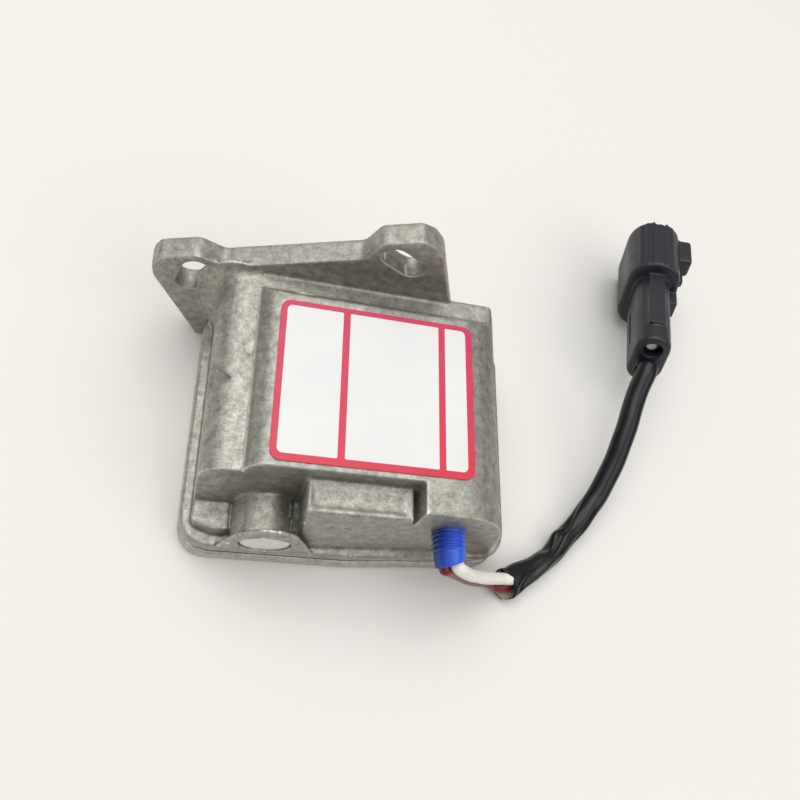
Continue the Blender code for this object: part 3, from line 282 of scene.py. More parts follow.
def label_ink():
    """Crimson print, with a little more blue in it towards the back."""
    m = Build("label_ink", (0.74, 0.035, 0.085), 0.0, 0.38)
    front = m.scale(m.along("Y"), low=0.0, high=1.0, start=LABEL_Y[0], end=0.022)
    print_red = m.ramp(front, [(0.0, (0.60, 0.016, 0.048)), (1.0, (0.56, 0.020, 0.085))])
    m.feed(print_red, m.shader, "Base Color")
    m.bump(m.noise(1500, 2, 0.5), 0.05, 0.00004)
    return m.mat


def label_paper():
    """The bare white fields."""
    m = Build("label_paper", (0.80, 0.80, 0.77), 0.0, 0.42)
    cloudy = m.noise(60, 2, 0.4)
    white = m.ramp(cloudy, [(0.3, (0.70, 0.705, 0.695)), (0.7, (0.735, 0.73, 0.705))])
    m.feed(white, m.shader, "Base Color")
    m.bump(m.noise(1800, 2, 0.5), 0.05, 0.00003)
    return m.mat


def gland_plastic():
    """Royal blue, with painted shade that darkens it to navy at its left."""
    m = Build("gland_blue", (0.012, 0.055, 0.50), 0.0, 0.3)
    # Painted shade: the blue turns navy across the gland's left side, where less light falls.
    side = m.scale(m.along("X"), low=0.0, high=1.0, start=0.0168, end=0.0215)
    blue_and_painted_shade = m.ramp(side, [(0.0, (0.006, 0.018, 0.17)), (1.0, (0.022, 0.100, 0.68))])
    m.feed(blue_and_painted_shade, m.shader, "Base Color")
    m.feed(m.scale(m.noise(500, 3, 0.5), 0.24, 0.38, 0.3, 0.7), m.shader, "Roughness")
    m.bump(m.noise(1200, 3, 0.5), 0.10, 0.00006)
    return m.mat


SEAL_FACE = 0.0003
WIRE_END_R = (0.00135, 0.00160)


def seal_face(node):
    """The dark wire seal, with the end of the white wire in its middle."""
    m = Build("seal_grey", (0.05, 0.05, 0.055), 0.0, 0.5)
    points = read_points(node.data)
    far = points @ PLUG_OUT
    outer = points[far < far.min() + SEAL_FACE].mean(axis=0)
    reach = m.node("ShaderNodeVectorMath", operation="DISTANCE")
    m.feed(m.place, reach, 0)
    reach.inputs[1].default_value = outer
    off = m.scale(reach.outputs["Value"], low=0.0, high=1.0, start=WIRE_END_R[0], end=WIRE_END_R[1])
    ringed = m.ramp(off, [(0.0, (0.88, 0.86, 0.82)), (1.0, (0.03, 0.03, 0.034))])
    m.feed(ringed, m.shader, "Base Color")
    m.bump(m.noise(1200, 2, 0.5), 0.1, 0.00006)
    return m.mat


def sleeve_lining():
    """The fibrous beige inside of the sleeve."""
    m = Build("sleeve_lining", (0.42, 0.34, 0.24), 0.0, 0.85)
    fibre = m.noise(2600, 4, 0.7)
    beige = m.ramp(fibre, [(0.35, (0.16, 0.12, 0.08)), (0.65, (0.55, 0.47, 0.36))])
    m.feed(beige, m.shader, "Base Color")
    m.bump(fibre, 0.8, 0.0003)
    return m.mat


def wire_vinyl(name, colour, shade, roughness):
    m = Build(name, colour, 0.0, roughness)
    m.feed(m.ramp(m.noise(340, 3, 0.5), [(0.35, shade), (0.65, colour)]), m.shader, "Base Color")
    dull = m.scale(m.noise(600, 3, 0.5), roughness * 0.8, roughness * 1.2, start=0.3, end=0.7)
    m.feed(dull, m.shader, "Roughness")
    m.bump(m.noise(1400, 2, 0.5), 0.08, 0.00005)
    return m.mat


finishes = {
    # The third colour of each casting is the colour of its painted edge highlight.
    "housing": cast_metal(
        "cast_housing", (0.26, 0.255, 0.222), (0.46, 0.452, 0.400), (0.90, 0.89, 0.83), step=True
    ),
    "base_cover": cast_metal("cast_cover", (0.40, 0.395, 0.355), (0.62, 0.61, 0.55), (0.92, 0.91, 0.86)),
    "gasket": plastic("gasket_fibre", (0.045, 0.042, 0.04), 0.8),
    "core_plug": smooth_metal("plug_steel", (0.86, 0.85, 0.79), 0.42, 0.35),
    "cable_gland": gland_plastic(),
    "white_wire": wire_vinyl("wire_white", (0.90, 0.87, 0.81), (0.80, 0.76, 0.69), 0.38),
    "red_wire": wire_vinyl("wire_red", (0.20, 0.012, 0.018), (0.13, 0.008, 0.012), 0.32),
    "lead_sleeve": plastic("sleeve_vinyl", (0.006, 0.006, 0.009), 0.28, 1500, 0.2, gloss=0.32),
    "plug_housing": plastic("plug_nylon", (0.015, 0.016, 0.023), 0.42),
    "blade_lock": plastic("lock_red", (0.30, 0.02, 0.02), 0.4),
    "wire_seal_1": seal_face(nodes["wire_seal_1"]),
    "wire_seal_2": plastic("seal_blue", (0.02, 0.06, 0.35), 0.5),
    "shaft_seal": plastic("seal_rubber", (0.02, 0.02, 0.02), 0.6),
    "coil_bobbin": plastic("bobbin_nylon", (0.03, 0.03, 0.03), 0.5),
    "coil_winding": smooth_metal("winding_copper", (0.55, 0.22, 0.09), 0.35),
    "stator_core": smooth_metal("lamination_steel", (0.20, 0.20, 0.22), 0.45),
    "armature": smooth_metal("armature_steel", (0.25, 0.25, 0.27), 0.42),
    "output_lever": smooth_metal("lever_zinc", (0.42, 0.41, 0.38), 0.38),
    "retaining_ring": smooth_metal("ring_oxide", (0.06, 0.06, 0.065), 0.40),
}
ink = label_ink()
paper = label_paper()
lining = sleeve_lining()
steel = smooth_metal("turned_steel", (0.58, 0.58, 0.58), 0.26)
brass = smooth_metal("contact_brass", (0.68, 0.50, 0.22), 0.30)
for name, node in nodes.items():
    node.data.materials.clear()
    usual = brass if "blade" in name or "cage" in name else steel
    node.data.materials.append(finishes.get(name, usual))


# Moulded and cast skins, made from the solids with soft edges.


def new_object(name, mesh, *materials):
    obj = bpy.data.objects.new(name, mesh)
    bpy.context.scene.collection.objects.link(obj)
    for material in materials:
        mesh.materials.append(material)
    return obj


def finished(work, name):
    """The edited faces as a mesh of this name."""
    mesh = bpy.data.meshes.new(name)
    work.to_mesh(mesh)
    work.free()
    return mesh


def join_rings(work, loops):
    """Faces between each ring of points and the next, and one across each end."""
    walls = []
    for one, two in zip(loops, loops[1:]):
        for k in range(len(one)):
            j = (k + 1) % len(one)
            walls.append(work.faces.new((one[k], one[j], two[j], two[k])))
    ends = [work.faces.new(loops[0]), work.faces.new(loops[-1])]
    bmesh.ops.recalc_face_normals(work, faces=work.faces)
    return walls, ends


def applied(obj):
    """Put the object's modifiers into its mesh."""
    shown = obj.evaluated_get(bpy.context.evaluated_depsgraph_get())
    mesh = bpy.data.meshes.new_from_object(shown)
    old = obj.data
    obj.modifiers.clear()
    obj.data = mesh
    bpy.data.meshes.remove(old)


def write_points(mesh, points):
    mesh.vertices.foreach_set("co", points.ravel())
    mesh.update()


CREASE_COS = 0.87
FACET_COS = 0.95
RELAX = 0.5


def relaxed(mesh, rounds):
    """Move each point towards the middle of its neighbours, once everywhere and then in rounds.

    The rounds leave sharp edges as they are, so that only the facets go.
    """
    count = len(mesh.vertices)
    pairs = np.empty(len(mesh.edges) * 2, dtype=np.int64)
    mesh.edges.foreach_get("vertices", pairs)
    one, two = pairs.reshape(-1, 2).T
    share = np.bincount(pairs, minlength=count)[:, None]

    def moved(repeats, freedom):
        points = read_points(mesh)
        for _ in range(repeats):
            total = np.empty_like(points)
            for axis in range(3):
                column = points[:, axis]
                total[:, axis] = np.bincount(one, column[two], count) + np.bincount(two, column[one], count)
            points += RELAX * freedom * (total / share - points)
        write_points(mesh, points)

    moved(1, 1.0)
    out = read_points(mesh, "normal")
    turn = np.einsum("ij,ij->i", out[one], out[two])
    least = np.ones(count)
    np.minimum.at(least, one, turn)
    np.minimum.at(least, two, turn)
    moved(rounds, np.clip((least - CREASE_COS) / (FACET_COS - CREASE_COS), 0, 1)[:, None])


def grain_of(points, size, seed):
    """Smooth noise from -1 to 1 at each point, with lumps of about this size."""
    shift = Vector((seed, seed * 2.0, seed * 3.0))
    return np.array([noise.noise(Vector(p) / size + shift) for p in points])


def lumps_of(points, lumps):
    """The height of the cast skin, from lumps given by their size, their seed and their height."""
    return sum(height * grain_of(points, size, seed) for size, seed, height in lumps)


def skin(name, node, voxel, rounds, shape, most, extra=()):
    """A soft-edged copy of a solid, joined with extra pieces and shaped point by point."""
    work = bmesh.new()
    work.from_mesh(nodes[node].data)
    for piece in extra:
        work.from_mesh(piece)
    obj = new_object(name, finished(work, name))
    remesh = obj.modifiers.new("fuse", "REMESH")
    remesh.mode = "VOXEL"
    remesh.voxel_size = voxel
    applied(obj)
    relaxed(obj.data, rounds)
    shape(obj.data)
    triangles = sum(len(face.vertices) - 2 for face in obj.data.polygons)
    if triangles > most:
        thin = obj.modifiers.new("thin", "DECIMATE")
        thin.ratio = most / triangles
        applied(obj)
    obj.data.materials.clear()
    obj.data.materials.append(finishes[node])
    obj.data.shade_smooth()
    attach(obj, "housing")
    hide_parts(node)
    return obj


ROOT_FRONT = 0.0329
ROOT_WALL = -0.0411
ROOT_LOW = 0.0125
SHOULDER_R = 0.0065
SHOULDER_TOP = 0.0380
ROOT_R = 0.0060
ROOT_R_TOP = 0.0022
ROOT_END_X = -0.0315
ROOT_SUNK = 0.001
WALL_STEPS = 9
BEND_STEPS = 12
HOLLOW_STEPS = 10


def root_fillet():
    """The wide hollow where the left wall and shoulder run into the mounting plate."""
    bend_x = ROOT_WALL + SHOULDER_R
    bend_z = SHOULDER_TOP - SHOULDER_R
    # Each stop up the wall and round the bend: its X and Z, its way out, and its share of the bend.
    stops = []
    for k in range(WALL_STEPS):
        stops.append((ROOT_WALL, ROOT_LOW + (bend_z - ROOT_LOW) * k / WALL_STEPS, -1.0, 0.0, 0.0))
    for k in range(BEND_STEPS + 1):
        a = math.pi / 2 * k / BEND_STEPS
        out_x, out_z = -math.cos(a), math.sin(a)
        stops.append((bend_x + SHOULDER_R * out_x, bend_z + SHOULDER_R * out_z, out_x, out_z, k / BEND_STEPS))
    stops.append((ROOT_END_X, SHOULDER_TOP, 0.0, 1.0, 1.0))
    back = ROOT_FRONT + ROOT_SUNK
    work = bmesh.new()
    loops = []
    for x, z, out_x, out_z, t in stops:
        r = ROOT_R + (ROOT_R_TOP - ROOT_R) * t
        ring = [(-ROOT_SUNK, ROOT_FRONT - r), (-ROOT_SUNK, back), (r, back)]
        for k in range(HOLLOW_STEPS + 1):
            a = math.pi / 2 * (1 - k / HOLLOW_STEPS)
            ring.append((r - r * math.cos(a), ROOT_FRONT - r + r * math.sin(a)))
        loops.append([work.verts.new((x + out_x * out, y, z + out_z * out)) for out, y in ring])
    join_rings(work, loops)
    return finished(work, "root_fillet")


# The dent's corners, each as its Y and its way round the shoulder from the wall.
DENT_TOP = (0.0066, 0.0034)
DENT_TIP = (0.0026, 0.0086)
DENT_LOW = (-0.0012, 0.0008)
DENT_DEPTH = 0.00105
DENT_WALL = 0.0005
DENT_FADES = (-0.0012, 0.0022)
# How dark the painted shade is on the dent's edge line and its floor, and how wide the line is.
DENT_LINE_TONE = 0.60
DENT_FLOOR_TONE = 0.16
DENT_LINE = 0.0003
SHOULDER_SKIN = 0.0008
SHOULDER_BELOW = 0.002
SHOULDER_PAST = 0.004
NICK_AT = (-0.0322, 0.0097, 0.0380)
NICK_R = 0.0008
NICK_DEPTH = 0.0004
EYE_FRONT = -0.0312
EYE_FADES = 0.0006
PIT_SIZE = 0.0012
PIT_SEED = 12.4
PIT_LEVEL = 0.25
PIT_DEPTH = 0.0006
BARREL_X = -0.02355
BARREL_Z = 0.0187
BARREL_REACH = 0.0086
BARREL_Y = (-0.0313, -0.0200)
BARREL_FADES = (0.0007, 0.0006)
BARREL_SQUEEZE = 0.16
RIB_X = -0.0156
RIB_Y = (-0.0290, -0.0200)
RIB_Z = 0.0123
RIB_TOP = 0.0182
RIB_HALF = 0.0010
RIB_FADES = 0.0012
RIB_SHIFT = -0.0008
RIB_LEAN = 0.45
# Lumps of the cast skins, each as its size, its seed and its height.
HOUSING_LUMPS = ((0.0042, 3.1, 0.00003), (0.0013, 7.7, 0.000015))
COVER_LUMPS = ((0.0030, 5.2, 0.00004), (0.0011, 9.3, 0.00002))
COVER_STILL = 0.0012


def rise_over(values, start, span):
    """0 before start, 1 after start plus span, and smooth between."""
    t = np.clip((values - start) / span, 0, 1)
    return t * t * (3 - 2 * t)


def line_side(y, way, one, two):
    """How far each point lies to the wall side of the line from one to two."""
    dy, dw = two[0] - one[0], two[1] - one[1]
    return ((way - one[1]) * dy - (y - one[0]) * dw) / math.hypot(dy, dw)


def dent_field(points):
    """How far each point lies inside the dent's V-shaped edge, and how open the dent is there."""
    across = ROOT_WALL + SHOULDER_R - points[:, 0]
    up = points[:, 2] - (SHOULDER_TOP - SHOULDER_R)
    way = np.arctan2(up, across) * SHOULDER_R
    outer = np.hypot(across, up) > SHOULDER_R - SHOULDER_SKIN
    on_shoulder = outer & (up > -SHOULDER_BELOW) & (across > -SHOULDER_PAST)
    upper = line_side(points[:, 1], way, DENT_TOP, DENT_TIP)
    lower = line_side(points[:, 1], way, DENT_TIP, DENT_LOW)
    return np.minimum(upper, lower), on_shoulder * rise_over(way, *DENT_FADES)


def press_dent(mesh, points, out):
    """Sink the dent, and store its painted shade for the housing's material."""
    inside, open_here = dent_field(points)
    floor = 1 - np.exp(-np.clip(inside, 0, None) / DENT_WALL)
    # Painted shade: dark along the dent's edge line, and a little dark over its floor.
    shade = DENT_LINE_TONE * np.exp(-((inside / DENT_LINE) ** 2))
    shade += DENT_FLOOR_TONE * rise_over(inside, 0.0, DENT_WALL)
    layer = mesh.attributes.new("dent_shade", "FLOAT", "POINT")
    layer.data.foreach_set("value", (shade * open_here).astype(np.float32))
    points -= out * (DENT_DEPTH * floor * open_here)[:, None]


def fit_barrel(points):
    """The photo's barrel is narrower on its right, and the thin rib beside it stands clear."""
    x, y, z = points.T
    near = (np.hypot(x - BARREL_X, z - BARREL_Z) < BARREL_REACH) & (x > BARREL_X)
    run = rise_over(y, BARREL_Y[0], BARREL_FADES[0]) * (1 - rise_over(y, BARREL_Y[1], BARREL_FADES[1]))
    points[:, 0] -= near * run * BARREL_SQUEEZE * (x - BARREL_X)
    on_rib = (np.abs(x - RIB_X) < RIB_HALF) & (y > RIB_Y[0]) & (y < RIB_Y[1]) & (z < RIB_TOP)
    lift = on_rib * rise_over(z, RIB_Z, RIB_FADES)
    points[:, 0] += lift * (RIB_SHIFT + RIB_LEAN * (x - RIB_X))


def shape_housing(mesh):
    """The dent on the shoulder, a nick beside it, and the uneven skin of the casting."""
    points = read_points(mesh)
    out = read_points(mesh, "normal")
    press_dent(mesh, points, out)
    fit_barrel(points)
    from_nick = np.linalg.norm(points - np.array(NICK_AT), axis=1)
    points -= out * (NICK_DEPTH * np.exp(-((from_nick / NICK_R) ** 2)))[:, None]
    height = lumps_of(points, HOUSING_LUMPS)
    eye = np.clip((EYE_FRONT - points[:, 1]) / EYE_FADES, 0, 1)
    pits = np.clip(grain_of(points, PIT_SIZE, PIT_SEED) - PIT_LEVEL, 0, 1)
    height -= eye * pits * PIT_DEPTH
    points += out * height[:, None]
    write_points(mesh, points)


def shape_cover(mesh):
    """The cover's uneven skin, with its underside left flat."""
    points = read_points(mesh)
    out = read_points(mesh, "normal")
    level = np.clip(points[:, 2] / COVER_STILL, 0, 1)
    points += out * (lumps_of(points, COVER_LUMPS) * level)[:, None]
    points[:, 2] = np.maximum(points[:, 2], 0.0)
    write_points(mesh, points)


TURNED_UP = (0.5, 0.8)
TURNED_LEFT = -0.6
HOOD_START = 0.0008
HOOD_TOP = 0.010
RIDGE_PITCH = 0.0021
RIDGE_RISE = 0.00010
SLOT_RUN = (-0.0215, -0.0085)
SLOT_AT = -0.001
SLOT_HALF = 0.0007
SLOT_DEPTH = 0.0009


def shape_plug(mesh):
    """Fine ridges along the top of the hood, and a narrow slot down the tail's left side."""
    points = read_points(mesh)
    out = read_points(mesh, "normal")
    side, rise, far = ((points - PLUG_AT) @ axis for axis in (PLUG_SIDE, PLUG_RISE, PLUG_OUT))
    facing_up = np.clip((out @ PLUG_RISE - TURNED_UP[0]) / (TURNED_UP[1] - TURNED_UP[0]), 0, 1)
    on_top = facing_up * (far > HOOD_START) * (rise > HOOD_TOP)
    ridges = RIDGE_RISE * np.sin(side / RIDGE_PITCH * 2 * math.pi)
    points += out * (on_top * ridges)[:, None]
    along = (far > SLOT_RUN[0]) & (far < SLOT_RUN[1])
    left = (out @ PLUG_SIDE < TURNED_LEFT) & along & (np.abs(rise - SLOT_AT) < SLOT_HALF)
    points += PLUG_SIDE * (left * SLOT_DEPTH)[:, None]
    write_points(mesh, points)


skin("cast_skin", "housing", 0.00030, 12, shape_housing, 190000, [root_fillet()])
skin("cover_skin", "base_cover", 0.00036, 14, shape_cover, 120000)
plug_skin = skin("plug_skin", "plug_housing", 0.00026, 24, shape_plug, 120000)


# Label.

LABEL_BOTTOM = 0.04412
LABEL_FILM = 0.04436
LABEL_PRINT = 0.04440
LABEL_CORNER = 0.0026
FIELD_Y = (-0.0172, 0.0211)
FIELDS_X = ((-0.02495, -0.0110), (-0.00925, 0.0137), (0.0154, 0.02095))
FIELD_CORNER = 0.0013
FIELD_SMALL_CORNER = 0.0003
FIELD_SUNK = 0.0001
CORNER_STEPS = 8
EDGE_DROP = 0.00004
EDGE_INSET = 0.00006


def rounded_plate(work, x, y, z, radii, index):
    """A closed plate with rounded corners: radii go front left, front right, back right, back left."""
    spots = ((x[0], y[0], 1, 1), (x[1], y[0], -1, 1), (x[1], y[1], -1, -1), (x[0], y[1], 1, -1))
    outline = []
    for k, ((cx, cy, sx, sy), r) in enumerate(zip(spots, radii)):
        start = math.pi + math.pi / 2 * k
        for step in range(CORNER_STEPS + 1):
            a = start + math.pi / 2 * step / CORNER_STEPS
            outline.append((cx + sx * r + r * math.cos(a), cy + sy * r + r * math.sin(a)))
    middle = Vector(((x[0] + x[1]) / 2, (y[0] + y[1]) / 2))
    low = [work.verts.new((*p, z[0])) for p in outline]
    edge = [work.verts.new((*p, z[1] - EDGE_DROP)) for p in outline]
    top = []
    for p in outline:
        inward = (middle - Vector(p)).normalized() * EDGE_INSET
        top.append(work.verts.new((*(Vector(p) + inward), z[1])))
    count = len(outline)
    faces = [work.faces.new(low[::-1]), work.faces.new(top)]
    for k in range(count):
        j = (k + 1) % count
        faces.append(work.faces.new((low[k], low[j], edge[j], edge[k])))
        faces.append(work.faces.new((edge[k], edge[j], top[j], top[k])))
    for face in faces:
        face.material_index = index


def make_label():
    """A film in the border's colour, with three bare fields on it."""
    work = bmesh.new()
    rounded_plate(work, LABEL_X, LABEL_Y, (LABEL_BOTTOM, LABEL_FILM), (LABEL_CORNER,) * 4, 0)
    small, large = FIELD_SMALL_CORNER, FIELD_CORNER
    corners = ((large, small, small, large), (small,) * 4, (small, large, large, small))
    for x, radii in zip(FIELDS_X, corners):
        rounded_plate(work, x, FIELD_Y, (LABEL_FILM - FIELD_SUNK, LABEL_PRINT), radii, 1)
    plate = new_object("label_plate", finished(work, "label_plate"), ink, paper)
    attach(plate, "housing")
    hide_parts("label")


make_label()


# Strain relief.

GLAND_ROOT = Vector((0.0207, -0.0283, 0.0304))
GLAND_SUNK = 0.0004
GLAND_L = 0.0075
GLAND_STEP = 0.00015
GLAND_RINGS = 53
GLAND_SIDES = 48
# How far the gland's end strays to the right and up, and the way it points.
GLAND_STRAYS = (0.0009, -0.0014)
GLAND_END_OUT = Vector((0.335, -0.921, -0.199))
GLAND_ROOT_R = 0.00425
GLAND_RIB_R = 0.00412
GLAND_RIB_RISE = 0.00026
GLAND_RIB_FIRST = 0.0005
GLAND_RIB_PITCH = 0.00105
GLAND_RIB_COUNT = 4
COLLAR_R = 0.00400
COLLAR_TAPER = 0.00008
# The rim's rings, each as its way past the collar's end and its radius.
GLAND_RIM = (
    (0.00022, 0.00380),
    (0.00030, 0.00350),
    (0.00020, 0.00318),
    (-0.0004, 0.00300),
    (-0.0012, 0.00250),
)


def gland_radius(along):
    """Four round ribs by the wall, then a smooth collar that narrows to its rim."""
    ribs_end = GLAND_RIB_FIRST + GLAND_RIB_PITCH * GLAND_RIB_COUNT
    if along < GLAND_RIB_FIRST:
        return GLAND_ROOT_R
    if along < ribs_end:
        phase = (along - GLAND_RIB_FIRST) / GLAND_RIB_PITCH * 2 * math.pi
        return GLAND_RIB_R + GLAND_RIB_RISE * math.cos(phase + math.pi)
    return COLLAR_R - COLLAR_TAPER * (along - ribs_end) / (GLAND_L - ribs_end)


def make_gland():
    work = bmesh.new()
    stations = [GLAND_STEP * k - GLAND_SUNK for k in range(GLAND_RINGS)]
    rings = [(along, gland_radius(along)) for along in stations]
    rings += [(stations[-1] + past, radius) for past, radius in GLAND_RIM]
    loops = []
    for along, radius in rings:
        t = along / GLAND_L
        bend = t * abs(t)
        middle = GLAND_ROOT + Vector((GLAND_STRAYS[0] * bend, -along, GLAND_STRAYS[1] * bend))
        out = Vector((0, -1, 0)).lerp(GLAND_END_OUT, max(0.0, min(1.0, bend))).normalized()
        side = Vector((0, 0, 1)).cross(out).normalized()
        rise = out.cross(side)
        loop = []
        for k in range(GLAND_SIDES):
            a = 2 * math.pi * k / GLAND_SIDES
            loop.append(work.verts.new(middle + side * radius * math.cos(a) + rise * radius * math.sin(a)))
        loops.append(loop)
    join_rings(work, loops)
    mesh = finished(work, "strain_relief")
    mesh.shade_smooth()
    gland = new_object("strain_relief", mesh, finishes["cable_gland"])
    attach(gland, "housing")
    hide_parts("cable_gland")


make_gland()


# Cords.


def smooth_route(points, spacing):
    """A smooth line through the points, with steps of about this length."""
    pts = [Vector(p) for p in points]
    pts = [2 * pts[0] - pts[1]] + pts + [2 * pts[-1] - pts[-2]]
    out = []
    for k in range(1, len(pts) - 2):
        p0, p1, p2, p3 = pts[k - 1 : k + 3]
        steps = max(1, round((p2 - p1).length / spacing))
        for i in range(steps):
            t = i / steps
            a = 2 * p1 + (p2 - p0) * t
            b = (2 * p0 - 5 * p1 + 4 * p2 - p3) * t**2
            c = (3 * p1 - p0 - 3 * p2 + p3) * t**3
            out.append((a + b + c) / 2)
    out.append(pts[-2])
    return out


def curve_tube(name, points, diameter, material):
    curve = bpy.data.curves.new(name, "CURVE")
    curve.dimensions = "3D"
    curve.bevel_depth = diameter / 2
    curve.bevel_resolution = 6
    curve.use_fill_caps = True
    spline = curve.splines.new("POLY")
    spline.points.add(len(points) - 1)
    for point, target in zip(spline.points, points):
        point.co = (*target, 1.0)
    spline.use_smooth = True
    obj = bpy.data.objects.new(name, curve)
    bpy.context.scene.collection.objects.link(obj)
    curve.materials.append(material)
    return obj


WIRE_STEP = 0.0008
SLEEVE_STEP = 0.0007


def make_wire(name, node, route, tuck, diameter):
    points = smooth_route(route + [tuck], WIRE_STEP)
    wire = curve_tube(name, points, diameter, finishes[node])
    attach(wire, "housing")
    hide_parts(node)


make_wire("white_lead", "white_wire", WHITE_ROUTE, WHITE_TUCK, WHITE_D)
make_wire("red_lead", "red_wire", RED_ROUTE, RED_TUCK, RED_D)

SLEEVE_SIDES = 56
SLEEVE_WALL = 0.00045
LINING_DEPTH = 0.0070
MOUTH_HALF = (0.0047, 0.0028)
MOUTH_BLEND = 0.016
MOUTH_SLANT = 0.0017
SLANT_FADES = 0.007
FOLD_AT = 0.0240
SLEEVE_FRONT = -0.0385
SLEEVE_LOW = 0.0004
VIEW_DOWN = Vector((0.1262, -0.9124, -0.3893))
# Bumps on the sleeve, each as its height, its place along, its length, its angle and its width.
BUMPS = (
    (0.0006, 0.0, 0.0016, math.pi, 0.5),
    (0.0013, FOLD_AT, 0.0026, math.radians(172), 0.55),
    (-0.0011, FOLD_AT - 0.0052, 0.0024, math.radians(178), 0.7),
    (-0.0007, FOLD_AT + 0.0048, 0.0024, math.radians(170), 0.6),
)
# Creases that wind along it, each as its height, its first angle, its turn a metre and its width.
MAIN_TURN = math.radians(95) / 0.026
CREASES = (
    (-0.00055, math.radians(55), MAIN_TURN, 0.22),
    (0.00025, math.radians(55) - 0.45, MAIN_TURN, 0.25),
)
LOW_CREASE = (-0.00030, math.radians(15), 30.0, 0.20)
CREASES_START = 0.004
CREASES_FADE = (0.020, 0.030)
WAVE_RISE = 0.00012
WAVE_PITCH = 0.011


def ease(t):
    t = max(0.0, min(1.0, t))
    return t * t * (3 - 2 * t)


def bell(x, width):
    return math.exp(-((x / width) ** 2))


def turn_gap(a, b):
    """The smallest angle between two directions round the sleeve."""
    return abs((a - b + math.pi) % (2 * math.pi) - math.pi)


def crease_push(crease, s, a):
    height, first, turn, width = crease
    return height * bell(turn_gap(a, first + turn * s), width)


def sleeve_point(s, a):
    """How far out the sleeve's surface lies across and up, s metres from its mouth, at angle a."""
    t = ease(s / MOUTH_BLEND)
    wide = MOUTH_HALF[0] + (SLEEVE_D / 2 - MOUTH_HALF[0]) * t
    high = MOUTH_HALF[1] + (SLEEVE_D / 2 - MOUTH_HALF[1]) * t
    fade = 1 - ease((s - CREASES_FADE[0]) / CREASES_FADE[1])
    push = sum(crease_push(crease, s, a) for crease in CREASES) * ease(s / CREASES_START)
    push += crease_push(LOW_CREASE, s, a)
    push *= fade
    for height, at, length, angle, width in BUMPS:
        push += height * bell(s - at, length) * bell(turn_gap(a, angle), width)
    push += WAVE_RISE * math.sin(s / WAVE_PITCH * 2 * math.pi + 2.0 * math.cos(a)) * (0.3 + fade)
    return wide + push, high + push


def sleeve_frames(route):
    """Each point of the route, with its ways along, across and up, and how far along it lies."""
    frames = []
    s = 0.0
    for k, point in enumerate(route):
        before, after = route[max(0, k - 1)], route[min(len(route) - 1, k + 1)]
        along = (after - before).normalized()
        wide_way = (VIEW_DOWN - along * VIEW_DOWN.dot(along)).normalized()
        high_way = along.cross(wide_way)
        if high_way.z < 0:
            high_way = -high_way
        if k:
            s += (point - route[k - 1]).length
        frames.append((point, along, wide_way, high_way, s))
    return frames


def sleeve_ring(work, frame_at, inset):
    """One ring of the sleeve, kept behind the part's foremost plane and off the floor."""
    point, along, wide_way, high_way, s = frame_at
    slant = MOUTH_SLANT * (1 - ease(s / SLANT_FADES))
    loop = []
    for k in range(SLEEVE_SIDES):
        a = 2 * math.pi * k / SLEEVE_SIDES
        wide, high = sleeve_point(s, a)
        across = wide_way * (wide - inset) * math.cos(a) + high_way * (high - inset) * math.sin(a)
        place = point + across + along * slant * math.sin(a)
        place.y = max(place.y, SLEEVE_FRONT)
        place.z = max(place.z, SLEEVE_LOW)
        loop.append(work.verts.new(place))
    return loop


def make_sleeve():
    """The sleeve from its lined mouth to the connector."""
    frames = sleeve_frames(smooth_route([MOUTH_AT] + SLEEVE_ROUTE[1:], SLEEVE_STEP))
    work = bmesh.new()
    inner = [f for f in frames if f[4] <= LINING_DEPTH]
    loops = [sleeve_ring(work, f, SLEEVE_WALL) for f in reversed(inner)]
    loops += [sleeve_ring(work, f, 0.0) for f in frames]
    walls, ends = join_rings(work, loops)
    for face in walls[: (len(inner) - 1) * SLEEVE_SIDES] + ends[:1]:
        face.material_index = 1
    mesh = finished(work, "sleeve_lead")
    mesh.shade_smooth()
    sleeve = new_object("sleeve_lead", mesh, finishes["lead_sleeve"], lining)
    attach(sleeve, "housing")
    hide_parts("lead_sleeve")


make_sleeve()


# Stage, lamps and camera.


FLOOR_HALF = 3.0
FLOOR_COLOUR = (0.76, 0.745, 0.71)
LAMP_AIM = Vector((0.02, 0.0, 0.02))
# Each lamp's name, place, width and power.
LAMPS = (("key", (-0.25, 0.40, 1.60), 1.7, 18.0), ("fill", (0.80, -0.60, 1.10), 1.2, 5.0))


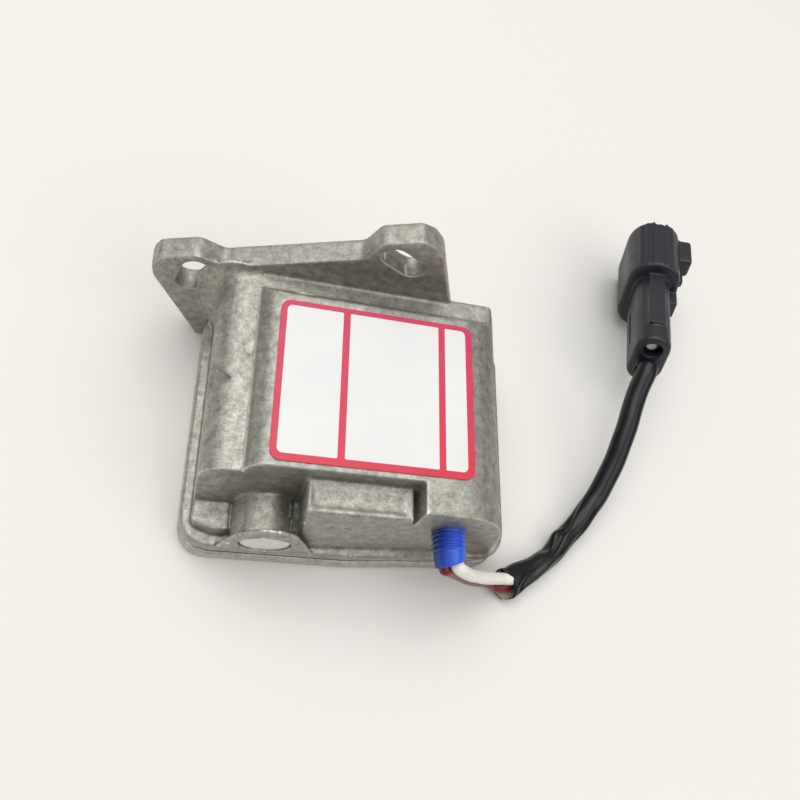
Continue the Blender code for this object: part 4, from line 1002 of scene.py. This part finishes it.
def make_floor():
    mesh = bpy.data.meshes.new("floor")
    corners = [(x * FLOOR_HALF, y * FLOOR_HALF, 0) for x, y in ((-1, -1), (1, -1), (1, 1), (-1, 1))]
    mesh.from_pydata(corners, [], [(0, 1, 2, 3)])
    floor = new_object("floor", mesh)
    m = Build("floor_board", FLOOR_COLOUR, 0.0, 0.7)
    mesh.materials.append(m.mat)


def area_lamp(name, at, size, power):
    data = bpy.data.lights.new(name, "AREA")
    data.shape = "DISK"
    data.size = size
    data.energy = power
    lamp = bpy.data.objects.new(name, data)
    bpy.context.scene.collection.objects.link(lamp)
    lamp.location = at
    lamp.rotation_euler = (LAMP_AIM - Vector(at)).to_track_quat("-Z", "Y").to_euler()


# The way to the sky's brightest part, and its least and most light.
SKY_BRIGHT = (-0.10, 0.16, 0.98)
SKY_LOW = (0.165, 0.163, 0.157)
SKY_HIGH = (0.73, 0.722, 0.705)


def make_world():
    """A soft sky that fades from its bright part to the far side."""
    world = bpy.data.worlds.new("studio")
    world.use_nodes = True
    tree = world.node_tree
    background = tree.nodes["Background"]
    background.inputs["Strength"].default_value = 1.0
    place = tree.nodes.new("ShaderNodeTexCoord")
    facing = tree.nodes.new("ShaderNodeVectorMath")
    facing.operation = "DOT_PRODUCT"
    facing.inputs[1].default_value = Vector(SKY_BRIGHT).normalized()
    tone = tree.nodes.new("ShaderNodeValToRGB")
    low, high = tone.color_ramp.elements
    low.position, high.position = 0.05, 0.95
    low.color = (*SKY_LOW, 1.0)
    high.color = (*SKY_HIGH, 1.0)
    tree.links.new(place.outputs["Generated"], facing.inputs[0])
    tree.links.new(facing.outputs["Value"], tone.inputs["Fac"])
    tree.links.new(tone.outputs["Color"], background.inputs["Color"])
    bpy.context.scene.world = world


def make_camera():
    data = bpy.data.cameras.new("photo_view")
    data.lens = CAMERA_LENS
    data.sensor_width = 36.0
    camera = bpy.data.objects.new("photo_view", data)
    bpy.context.scene.collection.objects.link(camera)
    camera.location = CAMERA_AT
    camera.rotation_euler = Euler([math.radians(a) for a in CAMERA_TURN], "XYZ")
    bpy.context.scene.camera = camera


make_floor()
make_world()
make_camera()
for lamp in LAMPS:
    area_lamp(*lamp)
bpy.context.scene.view_settings.view_transform = "Standard"
